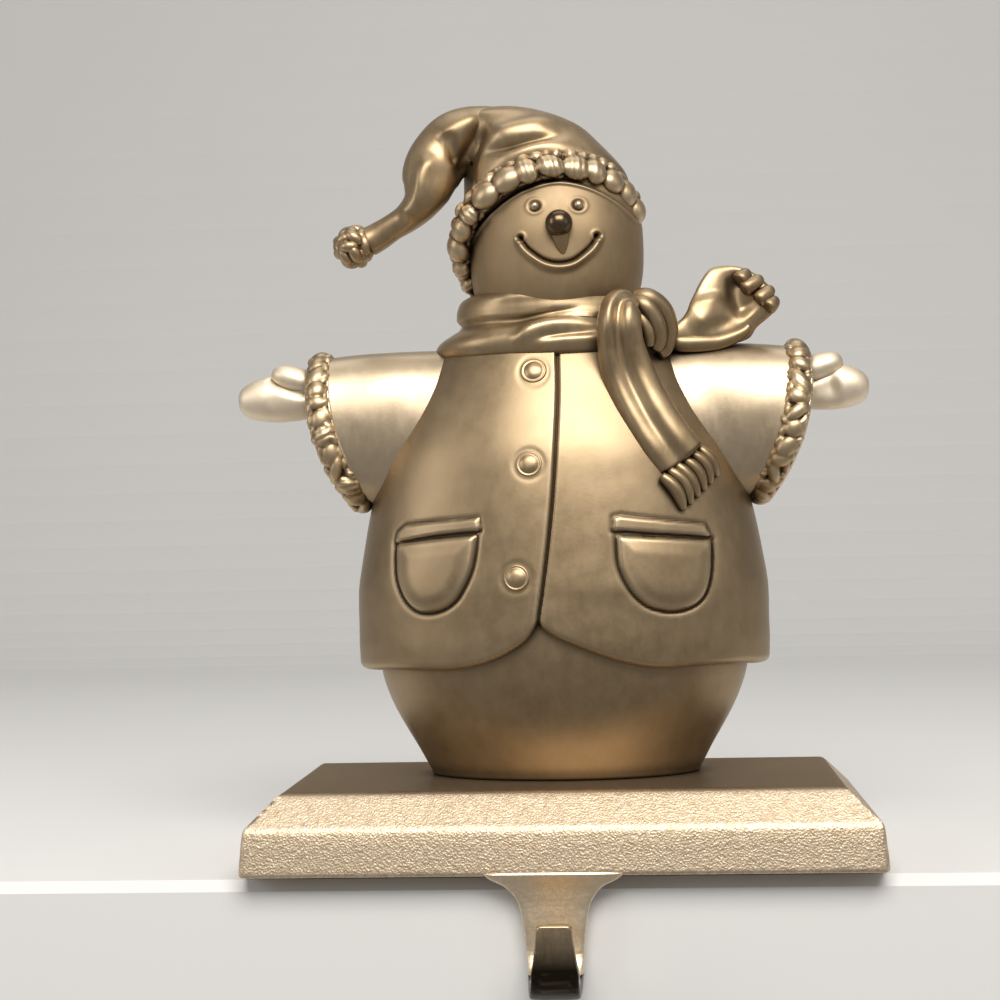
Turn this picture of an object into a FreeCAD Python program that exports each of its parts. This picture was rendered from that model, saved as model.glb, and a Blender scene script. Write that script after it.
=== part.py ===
# Mantel stocking holder: a cast snowman in a coat, cap and scarf stands on a heavy bevelled base
# whose stocking hook hangs over the front edge of the mantel.
# Frame: origin on the mantel under the middle of the base, +Z up, the front faces -Y, millimetres.
# The figure has a local frame with its origin in the middle of its foot.
import FreeCAD
import Part
import Sketcher
import math
import os

from FreeCAD import Matrix, Placement, Rotation, Vector

X = Vector(1, 0, 0)
Y = Vector(0, 1, 0)
Z = Vector(0, 0, 1)
FULL_TURN = 2 * math.pi
REACH = 200.0  # longer than the whole object, for cutters that pass right through it
LOBE_PHASE = 0.21  # where round its ring the first fur lump lies, as a share of one lump

# Driving dimensions, in millimetres unless the name ends in degrees, count or ratio.
SIZES = [
    ("pad_thickness", 1.2),
    ("pad_inset", 7.0),
    ("pad_corner_radius", 4.0),
    ("base_width", 120.0),
    ("base_depth", 64.3),
    ("base_draft", 0.91),
    ("base_face_height", 8.85),
    ("base_bevel_run", 6.06),
    ("base_bevel_rise", 6.05),
    ("base_corner_round", 1.6),
    ("base_edge_round", 1.1),
    ("hook_offset", -1.3),
    ("hook_thickness", 3.5),
    ("hook_lip_setback", 0.24),
    ("hook_root_height", 1.0),
    ("hook_setback", 1.2),
    ("hook_neck_slope", 3.6),
    ("hook_shank_width", 11.8),
    ("hook_bottom_width", 9.6),
    ("hook_flare_radius", 9.0),
    ("hook_bend_radius", 4.6),
    ("hook_drop", 13.4),
    ("hook_tip_height", 6.2),
    ("hook_tip_width", 6.6),
    ("hook_tip_base_width", 9.0),
    ("hook_tip_round", 1.4),
    ("hook_tip_edge_round", 1.05),
    ("screw_spacing", 26.0),
    ("screw_diameter", 4.0),
    ("screw_head_diameter", 8.0),
    ("screw_head_height", 2.6),
    ("screw_grip", 8.0),
    ("screw_hole_clearance", 0.25),
    ("screw_thread_clearance", 0.05),
    ("screw_head_clearance", 0.5),
    ("screw_chamfer", 0.6),
    ("screw_head_chamfer", 0.4),
    ("foot_hole_spare", 1.0),
    ("counterbore_depth", 4.2),
    ("driver_slot_width", 1.1),
    ("driver_slot_length", 4.4),
    ("driver_slot_depth", 1.4),
    ("figure_setback", 4.0),
    ("body_depth_ratio", 0.6),
    ("foot_half_width", 26.5),
    ("foot_height", 0.0),
    ("ankle_half_width", 29.3),
    ("ankle_height", 5.3),
    ("belly_low_half_width", 32.9),
    ("belly_low_height", 11.3),
    ("belly_half_width", 35.8),
    ("belly_height", 17.8),
    ("belly_top_half_width", 37.6),
    ("belly_top_height", 25.5),
    ("belly_hidden_half_width", 36.5),
    ("belly_hidden_height", 36.0),
    ("hem_half_width", 40.4),
    ("hem_height", 21.6),
    ("coat_full_half_width", 41.3),
    ("coat_full_height", 31.5),
    ("coat_pocket_half_width", 39.7),
    ("coat_pocket_height", 46.0),
    ("coat_chest_half_width", 35.3),
    ("coat_chest_height", 64.6),
    ("coat_shoulder_half_width", 30.6),
    ("coat_shoulder_height", 73.6),
    ("coat_collar_half_width", 24.6),
    ("coat_collar_height", 82.0),
    ("coat_neck_half_width", 15.0),
    ("coat_neck_height", 90.5),
    ("hem_opening_offset", -3.8),
    ("hem_opening_half_width", 21.5),
    ("hem_opening_rise", 8.6),
    ("seam_top_offset", 0.5),
    ("seam_bottom_bow", 1.6),
    ("seam_width", 0.7),
    ("seam_depth", 0.8),
    ("button_radius", 2.8),
    ("button_dome", 1.5),
    ("top_button_offset", -3.9),
    ("top_button_height", 79.4),
    ("middle_button_offset", -4.9),
    ("middle_button_height", 61.3),
    ("low_button_offset", -7.6),
    ("low_button_height", 39.7),
    ("pocket_half_width", 8.4),
    ("pocket_drop", 17.6),
    ("pocket_band_height", 2.7),
    ("pocket_band_overhang", 0.3),
    ("pocket_relief", 0.8),
    ("pocket_band_relief", 1.5),
    ("left_pocket_offset", -23.3),
    ("right_pocket_offset", 20.0),
    ("pocket_height", 50.8),
    ("pocket_tilt_degrees", 2.6),
    ("sleeve_top_drop", 5.9),
    ("sleeve_shoulder_offset", 13.0),
    ("sleeve_shoulder_half_height", 17.0),
    ("sleeve_shoulder_half_depth", 11.5),
    ("sleeve_half_depth", 9.2),
    ("cuff_top_reach", 47.6),
    ("cuff_bottom_reach", 38.9),
    ("cuff_drop", 30.0),
    ("cuff_bow", 2.8),
    ("cuff_lobe_radius", 2.9),
    ("cuff_lobe_count", 24),
    ("mitt_half_height", 4.7),
    ("mitt_half_depth", 4.0),
    ("mitt_drop", 7.8),
    ("left_mitt_reach", 65.1),
    ("right_mitt_reach", 62.1),
    ("mitt_half_length", 9.4),
    ("thumb_half_length", 5.2),
    ("thumb_half_height", 1.7),
    ("thumb_rise", 4.6),
    ("head_offset", 0.3),
    ("head_rise", 18.4),
    ("head_half_width", 17.6),
    ("head_half_depth", 15.5),
    ("head_half_height", 19.0),
    ("eye_radius", 1.15),
    ("eye_spread", 4.4),
    ("eye_rise", 7.2),
    ("face_offset", 1.3),
    ("nose_radius", 2.3),
    ("nose_rise", 3.0),
    ("carrot_length", 7.5),
    ("carrot_drop_degrees", 48.0),
    ("smile_radius", 8.25),
    ("smile_centre_rise", 3.85),
    ("smile_half_angle_degrees", 68.0),
    ("smile_groove_radius", 0.6),
    ("smile_dimple_radius", 1.0),
    ("cap_tilt_degrees", 16.0),
    ("cap_back_tilt_degrees", 45.0),
    ("cap_offset", -1.5),
    ("cap_rise", 3.0),
    ("cap_height", 26.6),
    ("brim_half_width", 17.3),
    ("brim_half_depth", 17.3),
    ("brim_lobe_radius", 2.35),
    ("brim_row_spacing", 3.9),
    ("brim_lobe_count", 27),
    ("pompom_radius", 3.7),
    ("pompom_lobe_radius", 1.5),
    ("pompom_lobe_count", 14),
    ("pompom_offset", -40.5),
    ("pompom_drop", 0.9),
    ("neck_half_width", 17.4),
    ("neck_half_depth", 13.2),
    ("collar_roll_half_width", 15.6),
    ("collar_roll_half_depth", 12.4),
    ("collar_roll_radius", 3.5),
    ("collar_roll_rise", 6.2),
    ("collar_base_half_width", 19.8),
    ("collar_base_half_depth", 14.6),
    ("collar_base_radius", 4.3),
    ("collar_base_drop", 4.3),
    ("knot_offset", 19.4),
    ("knot_rise", 2.6),
    ("knot_front", 6.5),
    ("knot_half_width", 3.1),
    ("knot_half_height", 6.2),
    ("knot_half_depth", 4.4),
    ("scarf_half_thickness", 2.1),
    ("tassel_radius", 1.2),
    ("tassel_length", 8.0),
    ("tassel_spacing", 2.2),
    ("tassel_count", 5),
    ("fan_lobe_radius", 2.1),
    ("fan_radius", 7.0),
    ("fan_lobe_count", 5),
]


def make_sheet(doc):
    """Put every driving dimension into a spreadsheet cell that carries its name."""
    sheet = doc.addObject("Spreadsheet::Sheet", "Sizes")
    for row, (name, value) in enumerate(SIZES, start=1):
        sheet.set("A%d" % row, name)
        sheet.set("B%d" % row, str(value))
        sheet.setAlias("B%d" % row, name)
    doc.recompute()
    return sheet


doc = FreeCAD.newDocument("mantel_stocking_holder")
sheet = make_sheet(doc)


def size(name):
    """The value of one driving dimension."""
    return float(sheet.get(name))


def bind(obj, **expressions):
    """Tie properties of an object to expressions, with the sheet's cells as plain names."""
    for path, text in expressions.items():
        obj.setExpression(path, text)


def plain_feature(name, shape, placement=None):
    """A document object that holds a shape made from the sheet's values."""
    feature = doc.addObject("Part::Feature", name)
    feature.Shape = shape
    if placement is not None:
        feature.Placement = placement
    return feature


def union(name, parts):
    fused = doc.addObject("Part::MultiFuse", name)
    fused.Shapes = parts
    fused.Refine = False
    return fused


def difference(name, base, tool):
    cut = doc.addObject("Part::Cut", name)
    cut.Base = base
    cut.Tool = tool
    cut.Refine = False
    return cut


def overlap(name, parts):
    common = doc.addObject("Part::MultiCommon", name)
    common.Shapes = parts
    common.Refine = False
    return common


# Heights that follow one another up the figure, in its local frame

def clean(length):
    """A sum of lengths without its floating-point noise."""
    return round(length, 6)


def sleeve_top_height():
    return clean(size("coat_neck_height") - size("sleeve_top_drop"))


def collar_height():
    return clean(size("coat_neck_height") - size("collar_base_drop"))


def collar_roll_height():
    return clean(collar_height() + size("collar_roll_rise"))


def knot_height():
    return clean(collar_height() + size("knot_rise"))


def head_height():
    return clean(collar_height() + size("head_rise"))


def rim_height():
    return clean(head_height() + size("cap_rise"))


# Sketch helpers

def origin_plane(body, role):
    """One of the body's own origin planes."""
    return next(item for item in body.Origin.OriginFeatures if item.Role == role)


def new_sketch(body, name, role, offset=None):
    """A sketch on an origin plane; the offset is an expression along the plane's normal."""
    sketch = body.newObject("Sketcher::SketchObject", name)
    sketch.AttachmentSupport = [(origin_plane(body, role), "")]
    sketch.MapMode = "FlatFace"
    if offset is not None:
        sketch.setExpression("AttachmentOffset.Base.z", offset)
    return sketch


def add_circle(sketch, across, up, radius):
    """A circle whose centre and radius are tied to expressions."""
    circle = sketch.addGeometry(Part.Circle(Vector(1, 1, 0), Z, 1.0), False)
    right = sketch.addConstraint(Sketcher.Constraint("DistanceX", -1, 1, circle, 3, 1.0))
    high = sketch.addConstraint(Sketcher.Constraint("DistanceY", -1, 1, circle, 3, 1.0))
    round_size = sketch.addConstraint(Sketcher.Constraint("Radius", circle, 1.0))
    sketch.setExpression("Constraints[%d]" % right, across)
    sketch.setExpression("Constraints[%d]" % high, up)
    sketch.setExpression("Constraints[%d]" % round_size, radius)


def line(start, end):
    return Part.LineSegment(Vector(*start, 0), Vector(*end, 0))


def arc(centre, radius, start_degrees, end_degrees):
    circle = Part.Circle(Vector(*centre, 0), Z, radius)
    return Part.ArcOfCircle(circle, math.radians(start_degrees), math.radians(end_degrees))


def rounded_outline(corners):
    """A closed outline of lines and tangent arcs through corners given as (across, up, radius)."""
    points = [Vector(across, up, 0) for across, up, radius in corners]
    count = len(corners)
    starts = []
    ends = []
    arcs = []
    for index, (across, up, radius) in enumerate(corners):
        point = points[index]
        back = (points[index - 1] - point).normalize()
        ahead = (points[(index + 1) % count] - point).normalize()
        half_angle = back.getAngle(ahead) / 2
        reach = radius / math.tan(half_angle)
        starts.append(point + back * reach)
        ends.append(point + ahead * reach)
        bisector = (back + ahead).normalize()
        middle = point + bisector * (radius / math.sin(half_angle) - radius)
        arcs.append(Part.Arc(starts[-1], middle, ends[-1]) if radius > 0 else None)
    outline = []
    for index in range(count):
        if arcs[index] is not None:
            outline.append(arcs[index])
        following = starts[(index + 1) % count]
        if (following - ends[index]).Length > 1e-6:
            outline.append(Part.LineSegment(ends[index], following))
    return outline


# Base casting with its hook

def add_pocket(body, sketch, both_ways=True, length=None, reversed_cut=False):
    """Cut a sketch out of the body and make sure that it removed something."""
    before = body.Shape.Volume
    pocket = body.newObject("PartDesign::Pocket", sketch.Name + "_cut")
    pocket.Profile = sketch
    if length is None:
        pocket.Type = "ThroughAll"
        pocket.SideType = "Symmetric" if both_ways else "One side"
    else:
        pocket.setExpression("Length", length)
    pocket.Reversed = reversed_cut
    doc.recompute()
    if not pocket.Shape.Volume < before:
        raise RuntimeError(sketch.Name + " cuts nothing")
    return pocket


def block_profile(width):
    """Half-section corners of the block for one of its two widths: face, bevel and top."""
    foot = width / 2
    shoulder = foot - size("base_draft")
    top = shoulder - size("base_bevel_run")
    face_height = size("base_face_height")
    height = face_height + size("base_bevel_rise")
    edge = size("base_edge_round")
    return [(foot, 0, 0), (shoulder, face_height, edge), (top, height, edge)]


def base_block(body):
    """The block's front outline padded through its depth, then trimmed to its side outline."""
    right = block_profile(size("base_width"))
    left = [(-across, up, radius) for across, up, radius in reversed(right)]
    front = new_sketch(body, "base_front", "XZ_Plane")
    front.addGeometry(rounded_outline(right + left), False)
    block = body.newObject("PartDesign::Pad", "base_block")
    block.Profile = front
    block.SideType = "Symmetric"
    bind(block, Length="Sizes.base_depth")
    doc.recompute()

    depth = size("base_depth")
    above = size("base_face_height") + size("base_bevel_rise")
    for side, word in ((-1, "front"), (1, "rear")):
        slope = [(side * across, up, radius) for across, up, radius in block_profile(depth)]
        outside = [(slope[-1][0], above + 1, 0), (side * depth, above + 1, 0), (side * depth, 0, 0)]
        trim = new_sketch(body, "base_" + word + "_slope", "YZ_Plane")
        trim.addGeometry(rounded_outline(slope + outside), False)
        add_pocket(body, trim)

    half_width = size("base_width") / 2
    half_depth = depth / 2
    corner = size("base_corner_round")
    quarters = ((1, 1), (-1, 1), (-1, -1), (1, -1))
    plan = new_sketch(body, "base_plan", "XY_Plane")
    plan.addGeometry(rounded_outline([(x * half_width, y * half_depth, corner) for x, y in quarters]), False)
    plan.addGeometry(rounded_outline([(x * 2 * half_width, y * 2 * half_depth, 0) for x, y in quarters]), False)
    add_pocket(body, plan)


def hook_side_outline():
    """The J of the hook seen from the side, as sketch geometry in Y and Z."""
    front = -size("base_depth") / 2 + size("hook_setback")
    thickness = size("hook_thickness")
    bend = size("hook_bend_radius")
    outer = bend + thickness
    low = -size("hook_drop") - bend
    tip = -size("hook_tip_height")
    slope = size("hook_neck_slope")
    lip = -size("base_depth") / 2 + size("hook_lip_setback")
    root = size("hook_root_height")
    edge = size("hook_tip_edge_round")
    return rounded_outline([
        (lip, root, 0),
        (lip, 0, 0),
        (front, -slope, 0),
        (front, low, bend),
        (front - 2 * bend, low, bend),
        (front - 2 * bend, tip, edge),
        (front - 2 * bend - thickness, tip, edge),
        (front - 2 * bend - thickness, low - thickness, outer),
        (front + thickness, low - thickness, outer),
        (front + thickness, root, 0),
    ])


def hook_cheek_outline(side):
    """What is cut away beside the shank so that it tapers down from a flared neck."""
    middle = size("hook_offset")
    shank = middle + side * size("hook_shank_width") / 2
    bottom = middle + side * size("hook_bottom_width") / 2
    flare = size("hook_flare_radius")
    outside = shank + side * 2 * flare
    bend_low = -size("hook_drop") - size("hook_bend_radius")
    return rounded_outline([
        (outside, 0, 0),
        (shank, 0, flare),
        (bottom, bend_low, 0),
        (bottom, -REACH / 4, 0),
        (outside, -REACH / 4, 0),
    ])


def hook_tip_outline(side):
    """What is cut away beside the upturned tip so that it narrows to a rounded end."""
    middle = size("hook_offset")
    top = -size("hook_tip_height")
    low = -size("hook_drop") - size("hook_bend_radius")
    top_half = size("hook_tip_width") / 2
    low_half = size("hook_tip_base_width") / 2
    corner = size("hook_tip_round")
    outside = middle + side * size("hook_shank_width")
    end = (middle + side * top_half, top - corner)
    span = (0, 90) if side > 0 else (90, 180)
    return [
        arc((middle + side * (top_half - corner), top - corner), corner, *span),
        line((middle + side * (top_half - corner), top), (outside, top)),
        line((outside, top), (outside, low)),
        line((outside, low), (middle + side * low_half, low)),
        line((middle + side * low_half, low), end),
    ]


def add_hook(body):
    """Pad the J across, then trim its cheeks and the sides of its tip."""
    outline = new_sketch(body, "hook_side", "YZ_Plane", "Sizes.hook_offset")
    outline.addGeometry(hook_side_outline(), False)
    hook = body.newObject("PartDesign::Pad", "hook")
    hook.Profile = outline
    hook.SideType = "Symmetric"
    bind(hook, Length="Sizes.hook_shank_width + 2 * Sizes.hook_flare_radius")
    doc.recompute()

    for side, word in ((-1, "left"), (1, "right")):
        cheek = new_sketch(body, "hook_cheek_" + word, "XZ_Plane")
        cheek.addGeometry(hook_cheek_outline(side), False)
        add_pocket(body, cheek)

    tip_plane = "Sizes.base_depth / 2 - Sizes.hook_setback + Sizes.hook_bend_radius"
    for side, word in ((-1, "left"), (1, "right")):
        tip = new_sketch(body, "hook_tip_" + word, "XZ_Plane", tip_plane)
        tip.addGeometry(hook_tip_outline(side), False)
        add_pocket(body, tip, both_ways=False, reversed_cut=True)


def add_screw_holes(body):
    """Two clearance holes with counterbores that take the screw heads."""
    across = "Sizes.screw_spacing / 2"
    up = "Sizes.figure_setback"
    for side, word in (("-1", "left"), ("1", "right")):
        hole = new_sketch(body, "screw_hole_" + word, "XY_Plane")
        add_circle(hole, side + " * " + across, up, "Sizes.screw_diameter / 2 + Sizes.screw_hole_clearance")
        add_pocket(body, hole)
        seat = new_sketch(body, "counterbore_" + word, "XY_Plane")
        add_circle(seat, side + " * " + across, up, "Sizes.screw_head_diameter / 2 + Sizes.screw_head_clearance")
        add_pocket(body, seat, length="Sizes.counterbore_depth", reversed_cut=True)


def make_base():
    body = doc.addObject("PartDesign::Body", "base_with_hook")
    body.Label = "base_with_hook"
    base_block(body)
    add_hook(body)
    add_screw_holes(body)
    bind(body, **{"Placement.Base.z": "Sizes.pad_thickness"})
    return body


# Coded forms shared by the sculpted parts of the figure

def closed_curve(points):
    """A smooth closed wire through the points."""
    curve = Part.BSplineCurve()
    curve.interpolate(points, PeriodicFlag=True)
    return Part.Wire(curve.toShape())


def oval(centre, along, across, half_along, half_across, count=12):
    """A closed oval with its two half-sizes along two unit vectors."""
    turns = [FULL_TURN * index / count for index in range(count)]
    return closed_curve([
        centre + along * (half_along * math.cos(turn)) + across * (half_across * math.sin(turn))
        for turn in turns
    ])


def loft(wires):
    return Part.makeLoft(wires, True, False)


def strap(stations):
    """A band lofted through (x, y, z, half width, half thickness); its width lies across X and Z."""
    points = [Vector(*[clean(length) for length in station[:3]]) for station in stations]
    wires = []
    for index, station in enumerate(stations):
        before = points[max(index - 1, 0)]
        after = points[min(index + 1, len(points) - 1)]
        run = (after - before).normalize()
        wide = run.cross(Y).normalize()
        thick = wide.cross(run).normalize()
        wires.append(oval(points[index], wide, thick, station[3], station[4]))
    return loft(wires)


def ellipsoid(centre, half_x, half_y, half_z, turn_degrees=0.0):
    """An ellipsoid, turned about its own Y axis."""
    stretch = Matrix()
    stretch.scale(half_x, half_y, half_z)
    shape = Part.makeSphere(1.0).transformGeometry(stretch)
    shape.Placement = Placement(centre, Rotation(Y, turn_degrees))
    return shape


def lump(centre, radius):
    """A small ball whose poles face front and back, clear of its neighbours' meeting lines."""
    return Part.makeSphere(radius, centre, Y)


def ring_lump(centre, radius, along, inward):
    """A small ball of a ring; its poles face its neighbours and its seam faces inwards."""
    ball = Part.makeSphere(radius)
    ball.Placement = Placement(centre, Rotation(inward, along.cross(inward), along, "ZXY"))
    return ball


def roll(centre, half_x, half_y, radius):
    """A round roll of cloth that follows a level oval."""
    if half_x >= half_y:
        path = Part.Ellipse(centre + X * half_x, centre + Y * half_y, centre)
    else:
        path = Part.Ellipse(centre + Y * half_y, centre - X * half_x, centre)
    start = path.value(0)
    section = Part.Circle(start, path.tangent(0)[0], radius)
    pipe = Part.Wire(path.toShape()).makePipeShell([Part.Wire(section.toShape())], True, False)
    return pipe


# Body: belly and coat

BELLY = ("foot", "ankle", "belly_low", "belly", "belly_top", "belly_hidden")
COAT = ("hem", "coat_full", "coat_pocket", "coat_chest", "coat_shoulder", "coat_collar", "coat_neck")


def body_loft(name, stations, growth="0"):
    """A loft through level ovals whose widths and heights are tied to the sheet."""
    sections = []
    for station in stations:
        section = doc.addObject("Part::Ellipse", name + "_" + station)
        half_width = "(Sizes.%s_half_width + %s)" % (station, growth)
        half_depth = "(Sizes.%s_half_width * Sizes.body_depth_ratio + %s)" % (station, growth)
        bind(section, MajorRadius=half_width, MinorRadius=half_depth)
        bind(section, **{"Placement.Base.z": "Sizes.%s_height" % station})
        sections.append(section)
    form = doc.addObject("Part::Loft", name)
    form.Sections = sections
    form.Solid = True
    return form


def coat_half_width(height):
    """The coat's half-width at a height, straight between its stations."""
    heights = [size(station + "_height") for station in COAT]
    widths = [size(station + "_half_width") for station in COAT]
    for low in range(len(COAT) - 1):
        if height <= heights[low + 1]:
            part = (height - heights[low]) / (heights[low + 1] - heights[low])
            return widths[low] + part * (widths[low + 1] - widths[low])
    return widths[-1]


def coat_front(across, height):
    """The point of the coat's front at a place seen from the front."""
    half_width = coat_half_width(height)
    share = max(0.0, 1 - (across / half_width) ** 2)
    return Vector(across, -half_width * size("body_depth_ratio") * math.sqrt(share), height)


def front_prism(name, outline):
    """A flat outline in X and Z made solid through the figure's front half."""
    edges = [edge.toShape() for edge in outline]
    face = Part.Face(Part.Wire(Part.__sortEdges__(edges)))
    prism = face.extrude(Vector(0, 0, REACH / 2))
    upright = Placement(Vector(0, 0, 0), Rotation(X, 90))
    return plain_feature(name, prism, upright)


def seam_offset(height):
    """Where the coat's front edge runs: almost straight, bowed to the left lower down."""
    top = size("coat_neck_height")
    bottom = size("hem_height") + size("hem_opening_rise")
    share = (top - height) / (top - bottom)
    straight = size("seam_top_offset") + share * (size("hem_opening_offset") - size("seam_top_offset"))
    return straight + size("seam_bottom_bow") * math.sin(math.pi * min(max(share, 0), 1))


def hem_opening_outline():
    """The pointed arch below the last button where the two coat edges part."""
    middle = size("hem_opening_offset")
    half = size("hem_opening_half_width")
    hem = size("hem_height")
    apex = hem + size("hem_opening_rise")
    left = Part.BSplineCurve()
    left.interpolate([Vector(middle - half, hem - 0.2, 0), Vector(middle - half * 0.45, hem + 1.9, 0),
                      Vector(middle - half * 0.14, hem + 5.2, 0), Vector(middle, apex, 0)])
    right = Part.BSplineCurve()
    right.interpolate([Vector(middle, apex, 0), Vector(middle + half * 0.45, hem + 3.4, 0),
                       Vector(middle + half * 1.1, hem - 0.2, 0)])
    floor = hem - 4
    return [
        left,
        right,
        line((middle + half * 1.1, hem - 0.2), (middle + half * 1.1, floor)),
        line((middle + half * 1.1, floor), (middle - half, floor)),
        line((middle - half, floor), (middle - half, hem - 0.2)),
    ]


def make_coat():
    """The coat, its hem stepped out over the belly and parted in front."""
    coat = body_loft("coat_form", COAT)
    opening = front_prism("hem_opening", hem_opening_outline())
    return difference("coat", coat, opening)


def pocket_outline(offset, drop, half_width, corner):
    """A U shape hanging from the pocket's top edge, with its upper corners square."""
    top = size("pocket_height")
    tilt = math.tan(math.radians(size("pocket_tilt_degrees"))) * (1 if offset < 0 else -1)
    left = offset - half_width
    right = offset + half_width
    return rounded_outline([
        (left, top - tilt * half_width, 0),
        (left, top - drop, corner),
        (right, top - drop, corner),
        (right, top + tilt * half_width, 0),
    ])


def make_pockets():
    """Two raised patch pockets, each with a thicker band along its mouth."""
    raised = body_loft("pocket_skin", COAT[:4], "Sizes.pocket_relief")
    banded = body_loft("pocket_band_skin", COAT[:4], "Sizes.pocket_band_relief")
    half_width = size("pocket_half_width")
    pieces = []
    for word in ("left", "right"):
        offset = size(word + "_pocket_offset")
        patch = pocket_outline(offset, size("pocket_drop"), half_width, 0.95 * half_width)
        band = pocket_outline(offset, size("pocket_band_height"), half_width + size("pocket_band_overhang"), 0)
        pieces.append(overlap(word + "_pocket", [raised, front_prism(word + "_pocket_patch", patch)]))
        pieces.append(overlap(word + "_pocket_band", [banded, front_prism(word + "_pocket_mouth", band)]))
    return pieces


def make_buttons():
    """Domed buttons that stand on the coat's front."""
    pieces = []
    for word in ("top", "middle", "low"):
        place = coat_front(size(word + "_button_offset"), size(word + "_button_height"))
        dome = ellipsoid(place, size("button_radius"), size("button_dome"), size("button_radius"))
        pieces.append(plain_feature(word + "_button", dome))
    return pieces


# Arms

def cuff_axes(side):
    """Middle of a sleeve's opening and the direction that runs up along it."""
    top = Vector(side * size("cuff_top_reach"), 0, sleeve_top_height())
    bottom = Vector(side * size("cuff_bottom_reach"), 0, clean(sleeve_top_height() - size("cuff_drop")))
    return (top + bottom) * 0.5, (top - bottom).normalize(), (top - bottom).Length / 2


def make_sleeve(side, word):
    """A flat bell sleeve from the shoulder to its slanted opening, closed by a low dome."""
    middle, upward, half_height = cuff_axes(side)
    outward = Vector(upward.z, 0, -upward.x) * side
    shoulder_half = size("sleeve_shoulder_half_height")
    shoulder = Vector(side * size("sleeve_shoulder_offset"), 0, sleeve_top_height() - shoulder_half)
    depth = size("sleeve_half_depth")
    bow = size("cuff_bow")
    between = (shoulder + middle) * 0.5
    return plain_feature(word + "_sleeve", loft([
        oval(shoulder, Z, Y, shoulder_half, size("sleeve_shoulder_half_depth")),
        oval(between, (Z + upward).normalize(), Y, (shoulder_half + half_height) / 2, depth * 1.05),
        oval(middle, upward, Y, half_height, depth),
        oval(middle + outward * bow, upward, Y, half_height * 0.7, depth * 0.7),
    ]))


def make_cuff(side, word):
    """A bowed ring of fur lumps round the sleeve's opening."""
    middle, upward, half_height = cuff_axes(side)
    outward = Vector(upward.z, 0, -upward.x) * side
    count = int(size("cuff_lobe_count"))
    depth = size("sleeve_half_depth")
    radius = size("cuff_lobe_radius")
    lobes = []
    for index in range(count):
        turn = FULL_TURN * (index + LOBE_PHASE) / count
        bow = size("cuff_bow") * math.sin(turn) ** 2
        centre = middle + upward * (half_height * math.cos(turn)) + Y * (depth * math.sin(turn)) + outward * bow
        lobes.append(plain_feature("%s_cuff_lobe_%d" % (word, index), lump(centre, radius)))
    return lobes


def make_mitt(side, word):
    """A mitten with its thumb on top, reaching out of the cuff."""
    half_length = size("mitt_half_length")
    reach = size(word + "_mitt_reach")
    palm = Vector(side * (reach - half_length), 0, clean(sleeve_top_height() - size("mitt_drop")))
    thumb = palm + Vector(-side * half_length * 0.25, 0, size("thumb_rise"))
    depth = size("mitt_half_depth")
    return [
        plain_feature(word + "_palm", ellipsoid(palm, half_length, depth, size("mitt_half_height"), side * 4)),
        plain_feature(word + "_thumb", ellipsoid(thumb, size("thumb_half_length"), depth * 0.45,
                                                 size("thumb_half_height"), side * 6)),
    ]


# Head and face

def head_front(across, rise):
    """The point of the face at an offset from the head's middle, seen from the front."""
    share = 1 - (across / size("head_half_width")) ** 2 - (rise / size("head_half_height")) ** 2
    return Vector(size("head_offset") + across, -size("head_half_depth") * math.sqrt(max(share, 0)),
                  head_height() + rise)


def make_head():
    centre = Vector(size("head_offset"), 0, head_height())
    head = doc.addObject("Part::Ellipsoid", "head")
    bind(head, Radius1="Sizes.head_half_height", Radius2="Sizes.head_half_width", Radius3="Sizes.head_half_depth")
    head.Angle1 = -90
    head.Angle2 = 90
    head.Angle3 = 360
    head.Placement = Placement(centre, Rotation())
    return head


def make_face():
    """Ball eyes, a ball nose and the carrot that drops from it."""
    middle = size("face_offset")
    pieces = []
    for word, side in (("left", -1), ("right", 1)):
        place = head_front(middle + side * size("eye_spread"), size("eye_rise"))
        pieces.append(plain_feature(word + "_eye", lump(place, size("eye_radius"))))
    nose = head_front(middle, size("nose_rise"))
    pieces.append(plain_feature("nose", lump(nose, size("nose_radius"))))
    half_length = size("carrot_length") / 2
    half_width = 0.7 * size("nose_radius")
    drop = size("carrot_drop_degrees")
    carrot = ellipsoid(nose + Vector(0.3, -0.4, -0.7 * half_length), half_width, half_width, half_length, 0)
    carrot.rotate(nose, X, -0.5 * drop)
    pieces.append(plain_feature("carrot", carrot))
    return pieces


def make_smile():
    """The groove of the smile with a dimple at each end, to be cut from the head."""
    radius = size("smile_radius")
    centre_rise = size("smile_centre_rise")
    half_angle = math.radians(size("smile_half_angle_degrees"))
    steps = 8
    points = []
    for index in range(steps + 1):
        turn = half_angle * (2 * index / steps - 1)
        points.append(head_front(size("face_offset") + radius * math.sin(turn), centre_rise - radius * math.cos(turn)))
    path = Part.BSplineCurve()
    path.interpolate(points)
    groove = size("smile_groove_radius")
    section = Part.Wire(Part.Circle(points[0], path.tangent(0)[0], groove).toShape())
    pipe = Part.Wire(path.toShape()).makePipeShell([section], True, False)
    dimples = [lump(points[0], size("smile_dimple_radius")), lump(points[-1], size("smile_dimple_radius"))]
    return plain_feature("smile", pipe.fuse(dimples))


# Cap

def cap_axes(share):
    """Right, front and up directions of the cap's rim, tilted by a share of its full tilt."""
    side_tilt = math.radians(size("cap_tilt_degrees")) * share
    back_tilt = math.radians(size("cap_back_tilt_degrees")) * share
    right = Vector(math.cos(side_tilt), 0, math.sin(side_tilt))
    front = Vector(0, -math.cos(back_tilt), math.sin(back_tilt))
    front = (front - right * front.dot(right)).normalize()
    return right, front, front.cross(right)


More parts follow.
